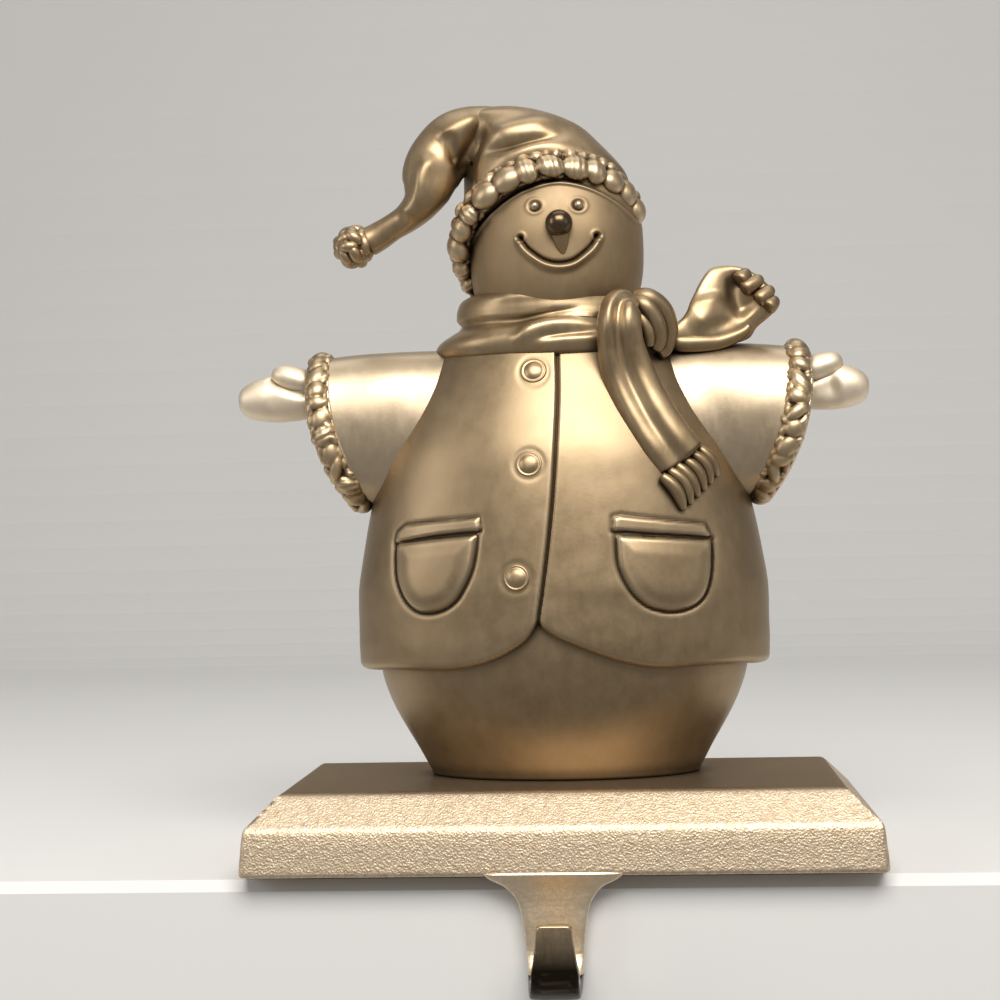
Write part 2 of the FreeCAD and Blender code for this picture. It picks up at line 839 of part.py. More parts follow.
def make_crown():
    """The cap's crown, which rises from its tilted rim and leans towards the drooping tail."""
    rim = Vector(size("cap_offset"), 0, rim_height())
    half_width = size("brim_half_width")
    height = size("cap_height")
    # share of the tilt left, shift to the left, shift back, share of the height, shares of the half-width
    stations = [
        (1.0, 0.0, 0.0, 0.0, 0.95, 0.94),
        (0.55, 0.3, 1.2, 0.335, 0.98, 0.87),
        (0.25, 2.7, 1.0, 0.625, 0.82, 0.70),
        (0.0, 6.0, 0.5, 0.84, 0.72, 0.53),
        (0.0, 8.0, 0.3, 0.953, 0.43, 0.35),
        (0.0, 9.0, 0.3, 1.0, 0.17, 0.14),
    ]
    wires = []
    for tilt, left, back, rise, wide, deep in stations:
        right, front, up = cap_axes(tilt)
        centre = rim + Vector(-left, back, rise * height)
        wires.append(oval(centre, right, front, wide * half_width, deep * half_width))
    return plain_feature("cap_crown", loft(wires))


def pompom_centre():
    return Vector(size("pompom_offset"), -2.0, clean(rim_height() - size("pompom_drop")))


def make_cap_tail():
    """The cap's point, folded over to the left and hanging down to its pompom."""
    left = size("cap_offset")
    rim = rim_height()
    end = pompom_centre()
    return plain_feature("cap_tail", strap([
        (left - 5.5, 0.0, rim + 18.4, 6.6, 6.0),
        (left - 12.5, -0.5, rim + 20.6, 6.3, 5.6),
        (left - 19.0, -1.0, rim + 19.8, 6.4, 5.3),
        (left - 22.8, -1.5, rim + 14.4, 6.3, 4.8),
        (left - 24.1, -2.0, rim + 8.9, 4.6, 4.0),
        (left - 26.7, -2.2, rim + 5.4, 3.2, 3.1),
        (left - 31.1, -2.2, rim + 2.6, 2.8, 2.6),
        (end.x + 4.8, end.y, end.z + 1.3, 2.9, 2.6),
        (end.x + 1.0, end.y, end.z + 0.2, 2.4, 2.2),
    ]))


def make_pompom():
    """A ball of yarn lumps at the tip of the cap."""
    centre = pompom_centre()
    radius = size("pompom_radius")
    count = int(size("pompom_lobe_count"))
    golden_turn = math.pi * (3 - math.sqrt(5))
    pieces = [plain_feature("pompom_ball", lump(centre, radius))]
    for index in range(count):
        level = 1 - 2 * (index + 0.5) / count
        level_radius = math.sqrt(1 - level * level)
        turn = golden_turn * index
        direction = Vector(level_radius * math.cos(turn), level, level_radius * math.sin(turn))
        place = centre + direction * (radius - 0.6)
        pieces.append(plain_feature("pompom_lobe_%d" % index, lump(place, size("pompom_lobe_radius"))))
    return pieces


def make_brim():
    """Two staggered rows of fur lumps round the cap's rim."""
    right, front, up = cap_axes(1.0)
    rim = Vector(size("cap_offset"), 0, rim_height())
    count = int(size("brim_lobe_count"))
    pieces = []
    for row, shift in ((0, -0.5), (1, 0.5)):
        middle = rim + up * (shift * size("brim_row_spacing"))
        for index in range(count):
            turn = FULL_TURN * (index + 0.5 * row + LOBE_PHASE) / count
            outward = right * math.cos(turn) + front * math.sin(turn)
            centre = (middle + right * (size("brim_half_width") * math.cos(turn))
                      + front * (size("brim_half_depth") * math.sin(turn)))
            ball = ring_lump(centre, size("brim_lobe_radius"), outward.cross(up), outward * -1)
            pieces.append(plain_feature("brim_lobe_%d_%d" % (row, index), ball))
    return pieces


# Scarf and neck

def make_neck():
    """The neck inside the scarf, solid from the coat's collar to the head."""
    low = Vector(0, 0, size("coat_collar_height"))
    high = Vector(0, 0, collar_roll_height())
    half_width = size("neck_half_width")
    half_depth = size("neck_half_depth")
    return plain_feature("neck", loft([oval(place, X, Y, half_width, half_depth) for place in (low, high)]))


def make_collar():
    """Two rolls of scarf round the neck."""
    pieces = []
    for name, height in (("collar_roll", collar_roll_height()), ("collar_base", collar_height())):
        centre = Vector(0, 0, height)
        form = roll(centre, size(name + "_half_width"), size(name + "_half_depth"), size(name + "_radius"))
        pieces.append(plain_feature(name, form))
    return pieces


def make_knot():
    """The knot's two rope-like folds, side by side and leaning."""
    middle = Vector(size("knot_offset"), -size("knot_front"), knot_height())
    half_width = size("knot_half_width")
    folds = []
    for word, side in (("inner", -1), ("outer", 1)):
        centre = middle + Vector(side * 0.62 * half_width, side * 1.0, 0)
        fold = ellipsoid(centre, half_width, size("knot_half_depth"), size("knot_half_height"), -12 * side - 8)
        folds.append(plain_feature("knot_%s_fold" % word, fold))
    return folds


def hanging_tail_stations():
    """Middle line of the scarf end that hangs over the coat, as (across, height, half-width, lift)."""
    left = size("knot_offset")
    top = collar_height()
    stations = [
        (left - 6.3, top + 3.7, 3.8, 8.4),
        (left - 6.2, top - 1.1, 4.2, 6.0),
        (left - 4.8, top - 7.1, 4.6, 1.9),
        (left - 2.5, top - 12.7, 4.7, 1.4),
        (left + 0.8, top - 18.8, 4.8, 1.3),
        (left + 4.9, top - 25.2, 4.9, 1.2),
    ]
    return [[clean(length) for length in station] for station in stations]


def make_hanging_tail():
    """The scarf end that hangs down the coat's front, with its row of tassels."""
    half_thickness = size("scarf_half_thickness")
    stations = []
    for across, height, half_width, lift in hanging_tail_stations():
        stations.append((across, coat_front(across, height).y - lift, height, half_width, half_thickness))
    pieces = [plain_feature("hanging_tail", strap(stations))]
    end = Vector(*stations[-1][:3])
    run = (end - Vector(*stations[-2][:3])).normalize()
    wide = run.cross(Y).normalize()
    count = int(size("tassel_count"))
    radius = size("tassel_radius")
    length = size("tassel_length")
    for index in range(count):
        root = end - run * 1.0 + wide * ((index - (count - 1) / 2) * size("tassel_spacing"))
        tip = root + run * length
        sag = coat_front(tip.x, tip.z).y - 0.9
        tip = Vector(tip.x, sag, tip.z)
        along = (tip - root).normalize()
        tassel = Part.makeCylinder(radius, (tip - root).Length, root, along).fuse(lump(tip, radius))
        pieces.append(plain_feature("tassel_%d" % index, tassel))
    return pieces


def make_flying_tail():
    """The scarf end that blows up to the right and opens like a fan, with its bumpy fringe."""
    thickness = size("scarf_half_thickness")
    knot = size("knot_offset")
    height = knot_height()
    fan = strap([
        (knot + 1.1, -6.0, height - 2.0, 2.6, thickness),
        (knot + 5.6, -5.0, height - 2.1, 3.2, thickness),
        (knot + 9.3, -4.0, height - 0.1, 5.3, thickness),
        (knot + 13.5, -3.2, height + 3.1, 6.8, 0.9 * thickness),
        (knot + 17.1, -2.5, height + 5.8, 6.9, 0.8 * thickness),
    ])
    pieces = [plain_feature("flying_tail", fan)]
    centre = Vector(clean(knot + 16.1), -2.5, clean(height + 2.7))
    count = int(size("fan_lobe_count"))
    first = math.radians(98)
    last = math.radians(-8)
    for index in range(count):
        turn = first + (last - first) * index / (count - 1)
        outward = Vector(math.cos(turn), 0, math.sin(turn))
        ball = ring_lump(centre + outward * size("fan_radius"), size("fan_lobe_radius"), outward.cross(Y), outward * -1)
        pieces.append(plain_feature("fan_lobe_%d" % index, ball))
    return pieces


# Cutters of the figure

def make_seam_groove():
    """A shallow groove along the coat's front edge, from the collar to the hem's opening."""
    low = size("hem_height") + size("hem_opening_rise")
    high = collar_height()
    steps = 6
    half = size("seam_width") / 2
    left = []
    right = []
    for index in range(steps + 1):
        height = low - 0.5 + (high - low) * index / steps
        middle = seam_offset(height)
        left.append(Vector(middle - half, height, 0))
        right.append(Vector(middle + half, height, 0))
    left_curve = Part.BSplineCurve()
    left_curve.interpolate(left)
    right_curve = Part.BSplineCurve()
    right_curve.interpolate(right)
    outline = [left_curve, Part.LineSegment(left[-1], right[-1]), right_curve, Part.LineSegment(left[0], right[0])]
    strip = front_prism("seam_strip", outline)
    inner = body_loft("seam_floor", COAT, "(-Sizes.seam_depth)")
    return difference("seam_groove", strip, inner)


def make_foot_holes():
    """Two blind tapped holes in the foot that take the fixing screws."""
    holes = []
    for side, word in ((-1, "left"), (1, "right")):
        hole = doc.addObject("Part::Cylinder", word + "_foot_hole")
        bind(hole, Radius="Sizes.screw_diameter / 2 + Sizes.screw_thread_clearance",
             Height="Sizes.screw_grip + 2 * Sizes.foot_hole_spare")
        bind(hole, **{
            "Placement.Base.x": "%d * Sizes.screw_spacing / 2" % side,
            "Placement.Base.z": "-Sizes.foot_hole_spare",
        })
        holes.append(hole)
    return holes


def make_arm(side, word):
    """One arm: sleeve, fur cuff and mitten."""
    return union(word + "_arm", [make_sleeve(side, word)] + make_cuff(side, word) + make_mitt(side, word))


def make_capped_head():
    """The head with its face, under the cap with its brim and pompom."""
    face = difference("smiling_head", union("head_and_face", [make_head()] + make_face()), make_smile())
    covered = union("covered_head", [face, make_crown(), make_cap_tail()] + make_pompom())
    return union("capped_head", [covered] + make_brim())


def make_scarf():
    """The scarf round the neck: collar rolls, knot and its two ends."""
    return union("scarf", [make_neck()] + make_collar() + make_knot() + make_hanging_tail() + make_flying_tail())


def make_body():
    """Belly and coat with pockets and buttons, the seam groove and the holes for the screws."""
    joined = union("dressed_body", [body_loft("belly", BELLY), make_coat()] + make_pockets() + make_buttons())
    for cutter in [make_seam_groove()] + make_foot_holes():
        joined = difference("body_cut_by_" + cutter.Name, joined, cutter)
    return joined


def make_figure():
    """The whole casting, its sculpted groups joined into one solid."""
    arms = [make_arm(-1, "left"), make_arm(1, "right")]
    figure = union("snowman_figure", [make_body()] + arms + [make_scarf(), make_capped_head()])
    bind(figure, **{
        "Placement.Base.y": "Sizes.figure_setback",
        "Placement.Base.z": "Sizes.pad_thickness + Sizes.base_face_height + Sizes.base_bevel_rise",
    })
    return figure


# Fixings and pad

def make_screw(side, word):
    """A pan-head machine screw from below, its head seated in the base's counterbore."""
    radius = size("screw_diameter") / 2
    head_radius = size("screw_head_diameter") / 2
    head_depth = size("screw_head_height")
    base_height = size("base_face_height") + size("base_bevel_rise")
    shank = base_height - size("counterbore_depth") + size("screw_grip")
    slot = size("driver_slot_depth")
    head_chamfer = size("screw_head_chamfer")
    head_shoulder = -head_depth + 2.45 * head_chamfer
    chamfer = size("screw_chamfer")
    profile = [(0, -head_depth, 0), (head_radius - head_chamfer, -head_depth, 0), (head_radius, head_shoulder, 0),
               (head_radius, 0, 0), (radius, 0, 0), (radius, shank - chamfer, 0), (radius - chamfer, shank, 0),
               (0, shank, 0)]
    outline = [edge_geometry.toShape() for edge_geometry in rounded_outline(profile)]
    face = Part.Face(Part.Wire(Part.__sortEdges__(outline)))
    face.Placement = Placement(Vector(0, 0, 0), Rotation(X, 90))
    turned = plain_feature(word + "_turned_screw", face.revolve(Vector(0, 0, 0), Z, 360))
    slots = []
    for number, angle in enumerate((0, 90)):
        cutter = doc.addObject("Part::Box", "%s_driver_slot_%d" % (word, number))
        bind(cutter, Length="Sizes.driver_slot_length", Width="Sizes.driver_slot_width",
             Height="Sizes.driver_slot_depth * 2")
        corner = Vector(-size("driver_slot_length") / 2, -size("driver_slot_width") / 2, -head_depth - slot)
        turn = Rotation(Z, angle)
        cutter.Placement = Placement(turn.multVec(corner), turn)
        slots.append(cutter)
    screw = difference(word + "_screw", turned, union(word + "_driver_cross", slots))
    bind(screw, **{
        "Placement.Base.x": "%d * Sizes.screw_spacing / 2" % side,
        "Placement.Base.y": "Sizes.figure_setback",
        "Placement.Base.z": "Sizes.pad_thickness + Sizes.counterbore_depth",
    })
    return screw


def make_screws():
    """The two fixing screws as one group of separate solids."""
    group = doc.addObject("Part::Compound", "fixing_screws")
    group.Links = [make_screw(-1, "left"), make_screw(1, "right")]
    return group


def make_pad():
    """The felt sheet glued under the base, set in from its edges."""
    body = doc.addObject("PartDesign::Body", "felt_pad")
    half_width = size("base_width") / 2 - size("pad_inset")
    half_depth = size("base_depth") / 2 - size("pad_inset")
    corner = size("pad_corner_radius")
    quarters = ((1, 1), (-1, 1), (-1, -1), (1, -1))
    outline = new_sketch(body, "pad_outline", "XY_Plane")
    outline.addGeometry(rounded_outline([(x * half_width, y * half_depth, corner) for x, y in quarters]), False)
    sheet_body = body.newObject("PartDesign::Pad", "pad_sheet")
    sheet_body.Profile = outline
    bind(sheet_body, Length="Sizes.pad_thickness")
    return body


# Build, check and write

def check_document():
    """Stop if any object of the document failed or holds a broken shape."""
    for item in doc.Objects:
        if "Invalid" in item.State or "Error" in item.State:
            raise RuntimeError(item.Name + " failed to build")
        if hasattr(item, "Shape") and (item.Shape.isNull() or not item.Shape.isValid()):
            raise RuntimeError(item.Name + " has no sound shape")
        if item.TypeId == "Part::MultiFuse" and len(item.Shape.Solids) != 1:
            raise RuntimeError(item.Name + " isn't one solid")
        if item.Name == "snowman_figure" and len(item.Shape.Shells) != 1:
            raise RuntimeError(item.Name + " encloses a hollow")


def main():
    pieces = [make_base(), make_figure(), make_screws(), make_pad()]
    doc.recompute()
    check_document()
    os.makedirs("parts", exist_ok=True)
    for piece in pieces:
        piece.Shape.exportStep(os.path.join("parts", piece.Label + ".step"))
        box = piece.Shape.BoundBox
        print("%-16s %10.1f mm3  %s" % (piece.Label, piece.Shape.Volume, box))


main()
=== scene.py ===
# Looks of the mantel stocking holder: a cast snowman on a bevelled base with a hook.
# Everything is worked out in millimetres and written to meshes in metres.
import math

import bpy
import numpy as np
from mathutils import Matrix, Vector


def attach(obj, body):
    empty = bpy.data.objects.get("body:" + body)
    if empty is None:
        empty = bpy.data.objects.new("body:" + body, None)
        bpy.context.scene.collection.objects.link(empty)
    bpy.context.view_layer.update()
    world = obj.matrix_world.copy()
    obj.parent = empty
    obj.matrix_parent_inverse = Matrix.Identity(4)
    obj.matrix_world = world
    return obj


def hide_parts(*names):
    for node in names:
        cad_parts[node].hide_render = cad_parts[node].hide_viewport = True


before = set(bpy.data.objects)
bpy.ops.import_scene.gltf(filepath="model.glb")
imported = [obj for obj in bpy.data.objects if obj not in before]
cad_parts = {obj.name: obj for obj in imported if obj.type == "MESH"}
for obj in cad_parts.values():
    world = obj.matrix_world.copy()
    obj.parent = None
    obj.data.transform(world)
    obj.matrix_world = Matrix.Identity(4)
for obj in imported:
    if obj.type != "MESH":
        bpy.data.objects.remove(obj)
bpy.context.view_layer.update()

MM = 0.001
TURN = 2 * math.pi
PAD = 1.2  # thickness of the felt pad
BASE_HALF = np.array([60.0, 32.15])
FIGURE = np.array([0.0, 4.0, 16.1])  # the middle of the figure's foot


# Number helpers

def smooth(low, high, value):
    """0 below low, 1 above high, eased between; low may be the larger of the two."""
    share = np.clip((value - low) / (high - low), 0, 1)
    return share * share * (3 - 2 * share)


def hump(distance, width):
    """A bell of height 1."""
    return np.exp(-(distance / width) ** 2)


def unit(vectors):
    """The same directions at length 1."""
    return vectors / np.linalg.norm(vectors, axis=-1, keepdims=True)


def circle(count, shift=0.0):
    """Cosines and sines of evenly spaced turns round a ring."""
    turn = TURN * (np.arange(count) + shift) / count
    return np.cos(turn), np.sin(turn)


def end_round(share, length, least=0.0):
    """1 along a form, then a quarter circle down over its last share of the given length."""
    into = ((share - 1 + length) / length).clip(0, 1)
    return np.sqrt(np.maximum(1 - into ** 2, least))


def spline(points, count):
    """Points along a smooth curve through the given points, any number of columns."""
    points = np.array(points, dtype=float)
    padded = np.vstack([2 * points[0] - points[1], points, 2 * points[-1] - points[-2]])
    place = np.linspace(0, len(points) - 1, count)
    index = np.minimum(place.astype(int), len(points) - 2)
    share = (place - index)[:, None]
    before, start, end, after = (padded[index + step] for step in range(4))
    return 0.5 * (2 * start + (end - before) * share
                  + (2 * before - 5 * start + 4 * end - after) * share ** 2
                  + (3 * start - before - 3 * end + after) * share ** 3)


def profile(pairs):
    """A smooth function through (position, value) pairs."""
    dense = spline(pairs, 40 * len(pairs))
    dense = dense[np.argsort(dense[:, 0])]
    return lambda position: np.interp(position, dense[:, 0], dense[:, 1])


def nearest_on_line(across, up, line):
    """Distance of every place to an open line, and how far along the line the nearest point is."""
    line = np.array(line, dtype=float)
    best = np.full(across.shape, 1e9)
    along = np.zeros(across.shape)
    for number in range(len(line) - 1):
        start = line[number]
        run = line[number + 1] - start
        share = ((across - start[0]) * run[0] + (up - start[1]) * run[1]) / (run @ run)
        share = np.clip(share, 0, 1)
        gap = np.hypot(across - start[0] - share * run[0], up - start[1] - share * run[1])
        closer = gap < best
        best = np.where(closer, gap, best)
        along = np.where(closer, (number + share) / (len(line) - 1), along)
    return best, along


def line_distance(across, up, line):
    return nearest_on_line(across, up, line)[0]


def inside_distance(across, up, outline):
    """Distance to a closed outline, positive inside."""
    outline = np.array(outline, dtype=float)
    gap = line_distance(across, up, np.vstack([outline, outline[:1]]))
    inside = np.zeros(across.shape, dtype=bool)
    for (x0, z0), (x1, z1) in zip(outline, np.roll(outline, -1, axis=0)):
        crosses = (z0 > up) != (z1 > up)
        with np.errstate(divide="ignore", invalid="ignore"):
            at = x0 + (up - z0) / (z1 - z0) * (x1 - x0)
        inside ^= crosses & (across < at)
    return np.where(inside, gap, -gap)


def strokes(across, up, lines):
    """Rounded ridges, or creases where the height is negative, drawn along smooth lines.

    Each line is its points, its width, its height and the share of it over which an end fades.
    """
    relief = np.zeros(across.shape)
    for points, width, height, fade in lines:
        gap, along = nearest_on_line(across, up, spline(points, 8 * len(points)))
        ends = np.minimum(smooth(0, fade, along), smooth(1, 1 - fade, along))
        relief += height * hump(gap, width) * ends
    return relief


def wobble(points, size, seed):
    """Smooth hand-modelled unevenness in -1..1 for an array of points."""
    rng = np.random.default_rng(seed)
    octaves = 5
    total = np.zeros(points.shape[:-1])
    for octave in range(octaves):
        direction = rng.normal(size=3)
        direction *= TURN / (size * (0.6 + 0.25 * octave) * np.linalg.norm(direction))
        total += np.sin(points @ direction + rng.uniform(0, TURN))
    return total / octaves


# Mesh helpers

def outward_normals(points):
    """Unit normals of a grid of closed rings, turned away from the rings' middles."""
    across = np.roll(points, -1, axis=1) - np.roll(points, 1, axis=1)
    normal = np.cross(across, np.gradient(points, axis=0))
    normal /= np.linalg.norm(normal, axis=-1, keepdims=True) + 1e-12
    spread = points - points.mean(axis=1, keepdims=True)
    return normal if (normal * spread).sum() > 0 else -normal


def grid_faces(rows, columns, joined=False):
    """Faces between the rings of a grid; where it is joined, the last ring meets the first."""
    row, column = np.meshgrid(np.arange(rows if joined else rows - 1), np.arange(columns), indexing="ij")
    right = (column + 1) % columns
    here = row * columns
    after = (row + 1) % rows * columns
    return np.stack([here + column, here + right, after + right, after + column], axis=-1).reshape(-1, 4)


def carve(points, uneven, fade, front, back=()):
    """A form's points with unevenness (height, size, seed) and strokes on its front and back."""
    height, size, seed = uneven
    normal = outward_normals(points)
    relief = height * wobble(points, size, seed)
    for lines, edge in ((front, fade), (back, -fade)):
        relief += smooth(edge, -edge, normal[..., 1]) * strokes(points[..., 0], points[..., 2], lines)
    return points + normal * relief[..., None]


def close_grid(points):
    """Points and faces of a grid of rings, with its ends fanned to their middles."""
    rows, columns = points.shape[:2]
    flat = [*points.reshape(-1, 3), points[0].mean(axis=0), points[-1].mean(axis=0)]
    faces = list(grid_faces(rows, columns))
    first_middle = rows * columns
    last = first_middle - columns
    for column in range(columns):
        faces.append((first_middle, (column + 1) % columns, column))
    for column in range(columns):
        faces.append((first_middle + 1, last + column, last + (column + 1) % columns))
    return np.array(flat), faces


def cavity(points, edges, normals, rounds):
    """How hollow (positive) or proud (negative) the surface is round each point, in millimetres."""
    count = len(points)
    first, second = edges.T
    degree = np.bincount(first, minlength=count) + np.bincount(second, minlength=count)
    soft = points.copy()
    for _ in range(rounds):
        total = [
            np.bincount(first, soft[second, axis], count) + np.bincount(second, soft[first, axis], count)
            for axis in range(3)
        ]
        soft = np.stack(total, axis=1) / np.maximum(degree, 1)[:, None]
    return np.einsum("ij,ij->i", soft - points, normals)


def add_object(name, data):
    thing = bpy.data.objects.new(name, data)
    bpy.context.scene.collection.objects.link(thing)
    return thing


def make_piece(name, points, faces, materials, node, rounds, face_material=None):
    """A finished object from points in millimetres and faces."""
    mesh = bpy.data.meshes.new(name)
    mesh.from_pydata((points * MM).tolist(), [], [tuple(face) for face in faces])
    mesh.validate()
    mesh.shade_smooth()
    for material in materials:
        mesh.materials.append(material)
    if face_material is not None:
        mesh.polygons.foreach_set("material_index", face_material)
    normals = np.empty(len(mesh.vertices) * 3)
    mesh.vertices.foreach_get("normal", normals)
    edges = np.empty(len(mesh.edges) * 2, dtype=np.int32)
    mesh.edges.foreach_get("vertices", edges)
    hollow = cavity(points, edges.reshape(-1, 2), normals.reshape(-1, 3), rounds)
    layer = mesh.attributes.new("cavity", "FLOAT", "POINT")
    layer.data.foreach_set("value", hollow.astype(np.float32))
    piece = add_object(name, mesh)
    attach(piece, "root")
    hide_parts(node)


def figure_piece(name, points, material=None, rounds=4, faces=None):
    """A grid of the figure, in the figure's own frame, as a finished object."""
    if faces is None:
        points, faces = close_grid(points)
    make_piece(name, points + FIGURE, faces, [material or bronze], "snowman_figure", rounds)


def base_piece(name, flat, faces, materials, face_material):
    """A part of the base's casting, which stands on the pad."""
    flat = flat + np.array([0, 0, PAD])
    make_piece(name, flat, faces, materials, "base_with_hook", 4, face_material)


def sweep(stations, rings, columns, section=None):
    """A band through (x, y, z, half width, half thickness); section shapes its thickness."""
    along = spline(stations, rings)
    place = along[:, :3]
    run = unit(np.gradient(place, axis=0))
    wide = unit(np.cross(run, np.array([0, 1.0, 0])))
    thick = np.cross(wide, run)
    share = np.linspace(0, 1, rings)[:, None]
    cosine, sine = circle(columns)
    depth = sine if section is None else section(cosine, sine, share)
    shrink = end_round(np.abs(share - 0.5) + 0.5, 0.03, 0.02)
    return (place[:, None, :] + wide[:, None, :] * (along[:, 3, None] * shrink * cosine)[..., None]
            + thick[:, None, :] * (along[:, 4, None] * shrink * depth)[..., None])


def globe(rings, columns, margin, power=2.0):
    """The part along the axis and the two parts across it of a round grid, pole to pole."""
    share = np.linspace(margin, 1 - margin, rings)[:, None] * math.pi
    cosine, sine = circle(columns)
    wide = np.sin(share) ** (2 / power)
    return -np.cos(share) * np.ones(columns), wide * cosine, wide * sine


# Materials

class Nodes:
    """A short way to add shader nodes and join them."""

    def __init__(self, name):
        self.material = bpy.data.materials.new(name)
        self.material.use_nodes = True
        self.tree = self.material.node_tree
        self.shader = self.tree.nodes["Principled BSDF"]

    def add(self, kind, inputs=None, **settings):
        node = self.tree.nodes.new("ShaderNode" + kind)
        for key, value in settings.items():
            setattr(node, key, value)
        for key, value in (inputs or {}).items():
            self.join(value, node.inputs[key])
        return node

    def join(self, value, socket):
        if isinstance(value, bpy.types.NodeSocket):
            self.tree.links.new(value, socket)
        elif isinstance(value, bpy.types.Node):
            self.tree.links.new(value.outputs[0], socket)
        else:
            socket.default_value = value

    def drive(self, name, value):
        """Join a node to one of the shader's inputs."""
        self.join(value, self.shader.inputs[name])

    def plus(self, first, second, clamp=False):
        return self.add("Math", {0: first, 1: second}, operation="ADD", use_clamp=clamp)

    def times(self, first, second, clamp=False):
        return self.add("Math", {0: first, 1: second}, operation="MULTIPLY", use_clamp=clamp)

    def noise(self, scale, detail, stretch=(1, 1, 1), roughness=0.6):
        place = self.add("TexCoord").outputs["Object"]
        mapped = self.add("Mapping", {"Vector": place, "Scale": stretch})
        inputs = {"Vector": mapped, "Scale": scale, "Detail": detail, "Roughness": roughness}
        return self.add("TexNoise", inputs).outputs["Fac"]

    def span(self, value, low, high, to_low=0.0, to_high=1.0):
        return self.add("MapRange", {0: value, 1: low, 2: high, 3: to_low, 4: to_high}).outputs[0]

    def cavity(self):
        return self.add("Attribute", attribute_name="cavity").outputs["Fac"]

    def blend(self, share, first, second):
        """A mix of two colours, each of them a socket or (red, green, blue)."""
        mix = self.add("Mix", data_type="RGBA")
        for number, value in ((0, share), (6, first), (7, second)):
            self.join((*value, 1) if isinstance(value, tuple) else value, mix.inputs[number])
        return mix.outputs[2]

    def bump(self, strength, distance, height):
        inputs = {"Strength": strength, "Distance": distance, "Height": height}
        self.drive("Normal", self.add("Bump", inputs))


def antique_metal(name, dark, middle, light, roughness, brush=(2.5, 2.5, 1)):
    """Wiped antique plating: patina dark in hollows, worn paler on proud edges, faintly brushed; ambient
    occlusion adds painted shade where parts crowd or overhang.
    """
    nodes = Nodes(name)
    hollow = nodes.cavity()
    shade = nodes.add("AmbientOcclusion", {"Distance": 0.005}, samples=8).outputs["AO"]
    patches = nodes.noise(45, 3)
    streaks = nodes.noise(260, 5, brush, 0.7)
    grain = nodes.noise(1500, 3)
    worn = nodes.span(hollow, -0.02, -0.25)
    stained = nodes.span(hollow, 0.01, 0.25)
    # Painted shade: ambient occlusion darkens the colour where other parts crowd in or overhang, on top of
    # the patina in hollows.
    painted_shade = nodes.span(shade, 0.75, 0.25)
    patina_and_painted_shade = nodes.plus(stained, nodes.times(painted_shade, 0.8), True)
    tone = nodes.times(nodes.span(streaks, 0.3, 0.75), 0.5)
    tone = nodes.plus(tone, nodes.times(nodes.span(patches, 0.35, 0.7), 0.5), True)
    plain = nodes.blend(nodes.times(tone, 0.38), middle, light)
    edged = nodes.blend(nodes.times(worn, 0.7), plain, light)
    nodes.drive("Base Color", nodes.blend(patina_and_painted_shade, edged, dark))
    nodes.shader.inputs["Metallic"].default_value = 1.0
    rough = nodes.span(streaks, 0.2, 0.8, roughness - 0.05, roughness + 0.06)
    nodes.drive("Roughness", nodes.plus(rough, nodes.times(patina_and_painted_shade, 0.15)))
    nodes.bump(0.07, 0.0003, nodes.plus(nodes.times(streaks, 0.5), nodes.times(grain, 0.5)))
    nodes.shader.inputs["Coat Weight"].default_value = 0.2
    nodes.shader.inputs["Coat Roughness"].default_value = 0.35
    return nodes.material


def cast_metal(name, dark, light, roughness, grain_size, depth):
    """Rough sand-cast metal that sparkles from small facets."""
    nodes = Nodes(name)
    coarse = nodes.noise(grain_size * 0.35, 3)
    fine = nodes.noise(grain_size, 4)
    place = nodes.add("TexCoord").outputs["Object"]
    specks = nodes.add("TexVoronoi", {"Vector": place, "Scale": grain_size * 0.9}).outputs["Distance"]
    mottle = nodes.plus(nodes.times(coarse, 0.5), nodes.times(fine, 0.5))
    nodes.drive("Base Color", nodes.blend(nodes.span(mottle, 0.4, 0.6), dark, light))
    nodes.shader.inputs["Metallic"].default_value = 1.0
    nodes.drive("Roughness", nodes.span(fine, 0.3, 0.7, roughness + 0.08, roughness - 0.12))
    nodes.bump(1.0, depth, nodes.plus(nodes.times(fine, 0.7), nodes.times(specks, 0.6)))
    return nodes.material


def hook_end_metal():
    """Nearly black polished metal that turns brown and scratched towards the hook's tip."""
    nodes = Nodes("hook_dark")
    place = nodes.add("TexCoord").outputs["Object"]
    height = nodes.add("SeparateXYZ", {0: place}).outputs[2]
    scratches = nodes.noise(420, 6, (1, 1, 0.25), 0.75)
    # Lighter brown towards the top of the tip and black lower down, broken up by scratches.
    lighter_towards_top = nodes.span(height, -0.0135, -0.0065)
    lighter_towards_top = nodes.times(lighter_towards_top, nodes.span(scratches, 0.25, 0.75, 0.6, 1.2), True)
    worn = nodes.times(nodes.span(nodes.cavity(), -0.02, -0.2), 0.6)
    edged = nodes.plus(lighter_towards_top, worn, True)
    nodes.drive("Base Color", nodes.blend(edged, (0.026, 0.019, 0.012), (0.46, 0.35, 0.225)))
    nodes.shader.inputs["Metallic"].default_value = 1.0
    nodes.drive("Roughness", nodes.span(scratches, 0.2, 0.8, 0.26, 0.42))
    nodes.bump(0.1, 0.0002, scratches)
    return nodes.material


# Dark colour for the patina in hollows and for the painted shade.
BRONZE_PATINA_AND_SHADE = (0.045, 0.027, 0.012)
bronze = antique_metal("antique_bronze", BRONZE_PATINA_AND_SHADE, (0.33, 0.232, 0.126), (0.70, 0.55, 0.36), 0.41)
# A darker copy of the antique bronze for the coat and belly: painted shade.
painted_shade_coat_bronze = antique_metal(
    "painted_shade_coat_bronze", (0.04, 0.026, 0.013), (0.258, 0.183, 0.102), (0.54, 0.418, 0.268), 0.42, (1.3, 1.3, 0.9))
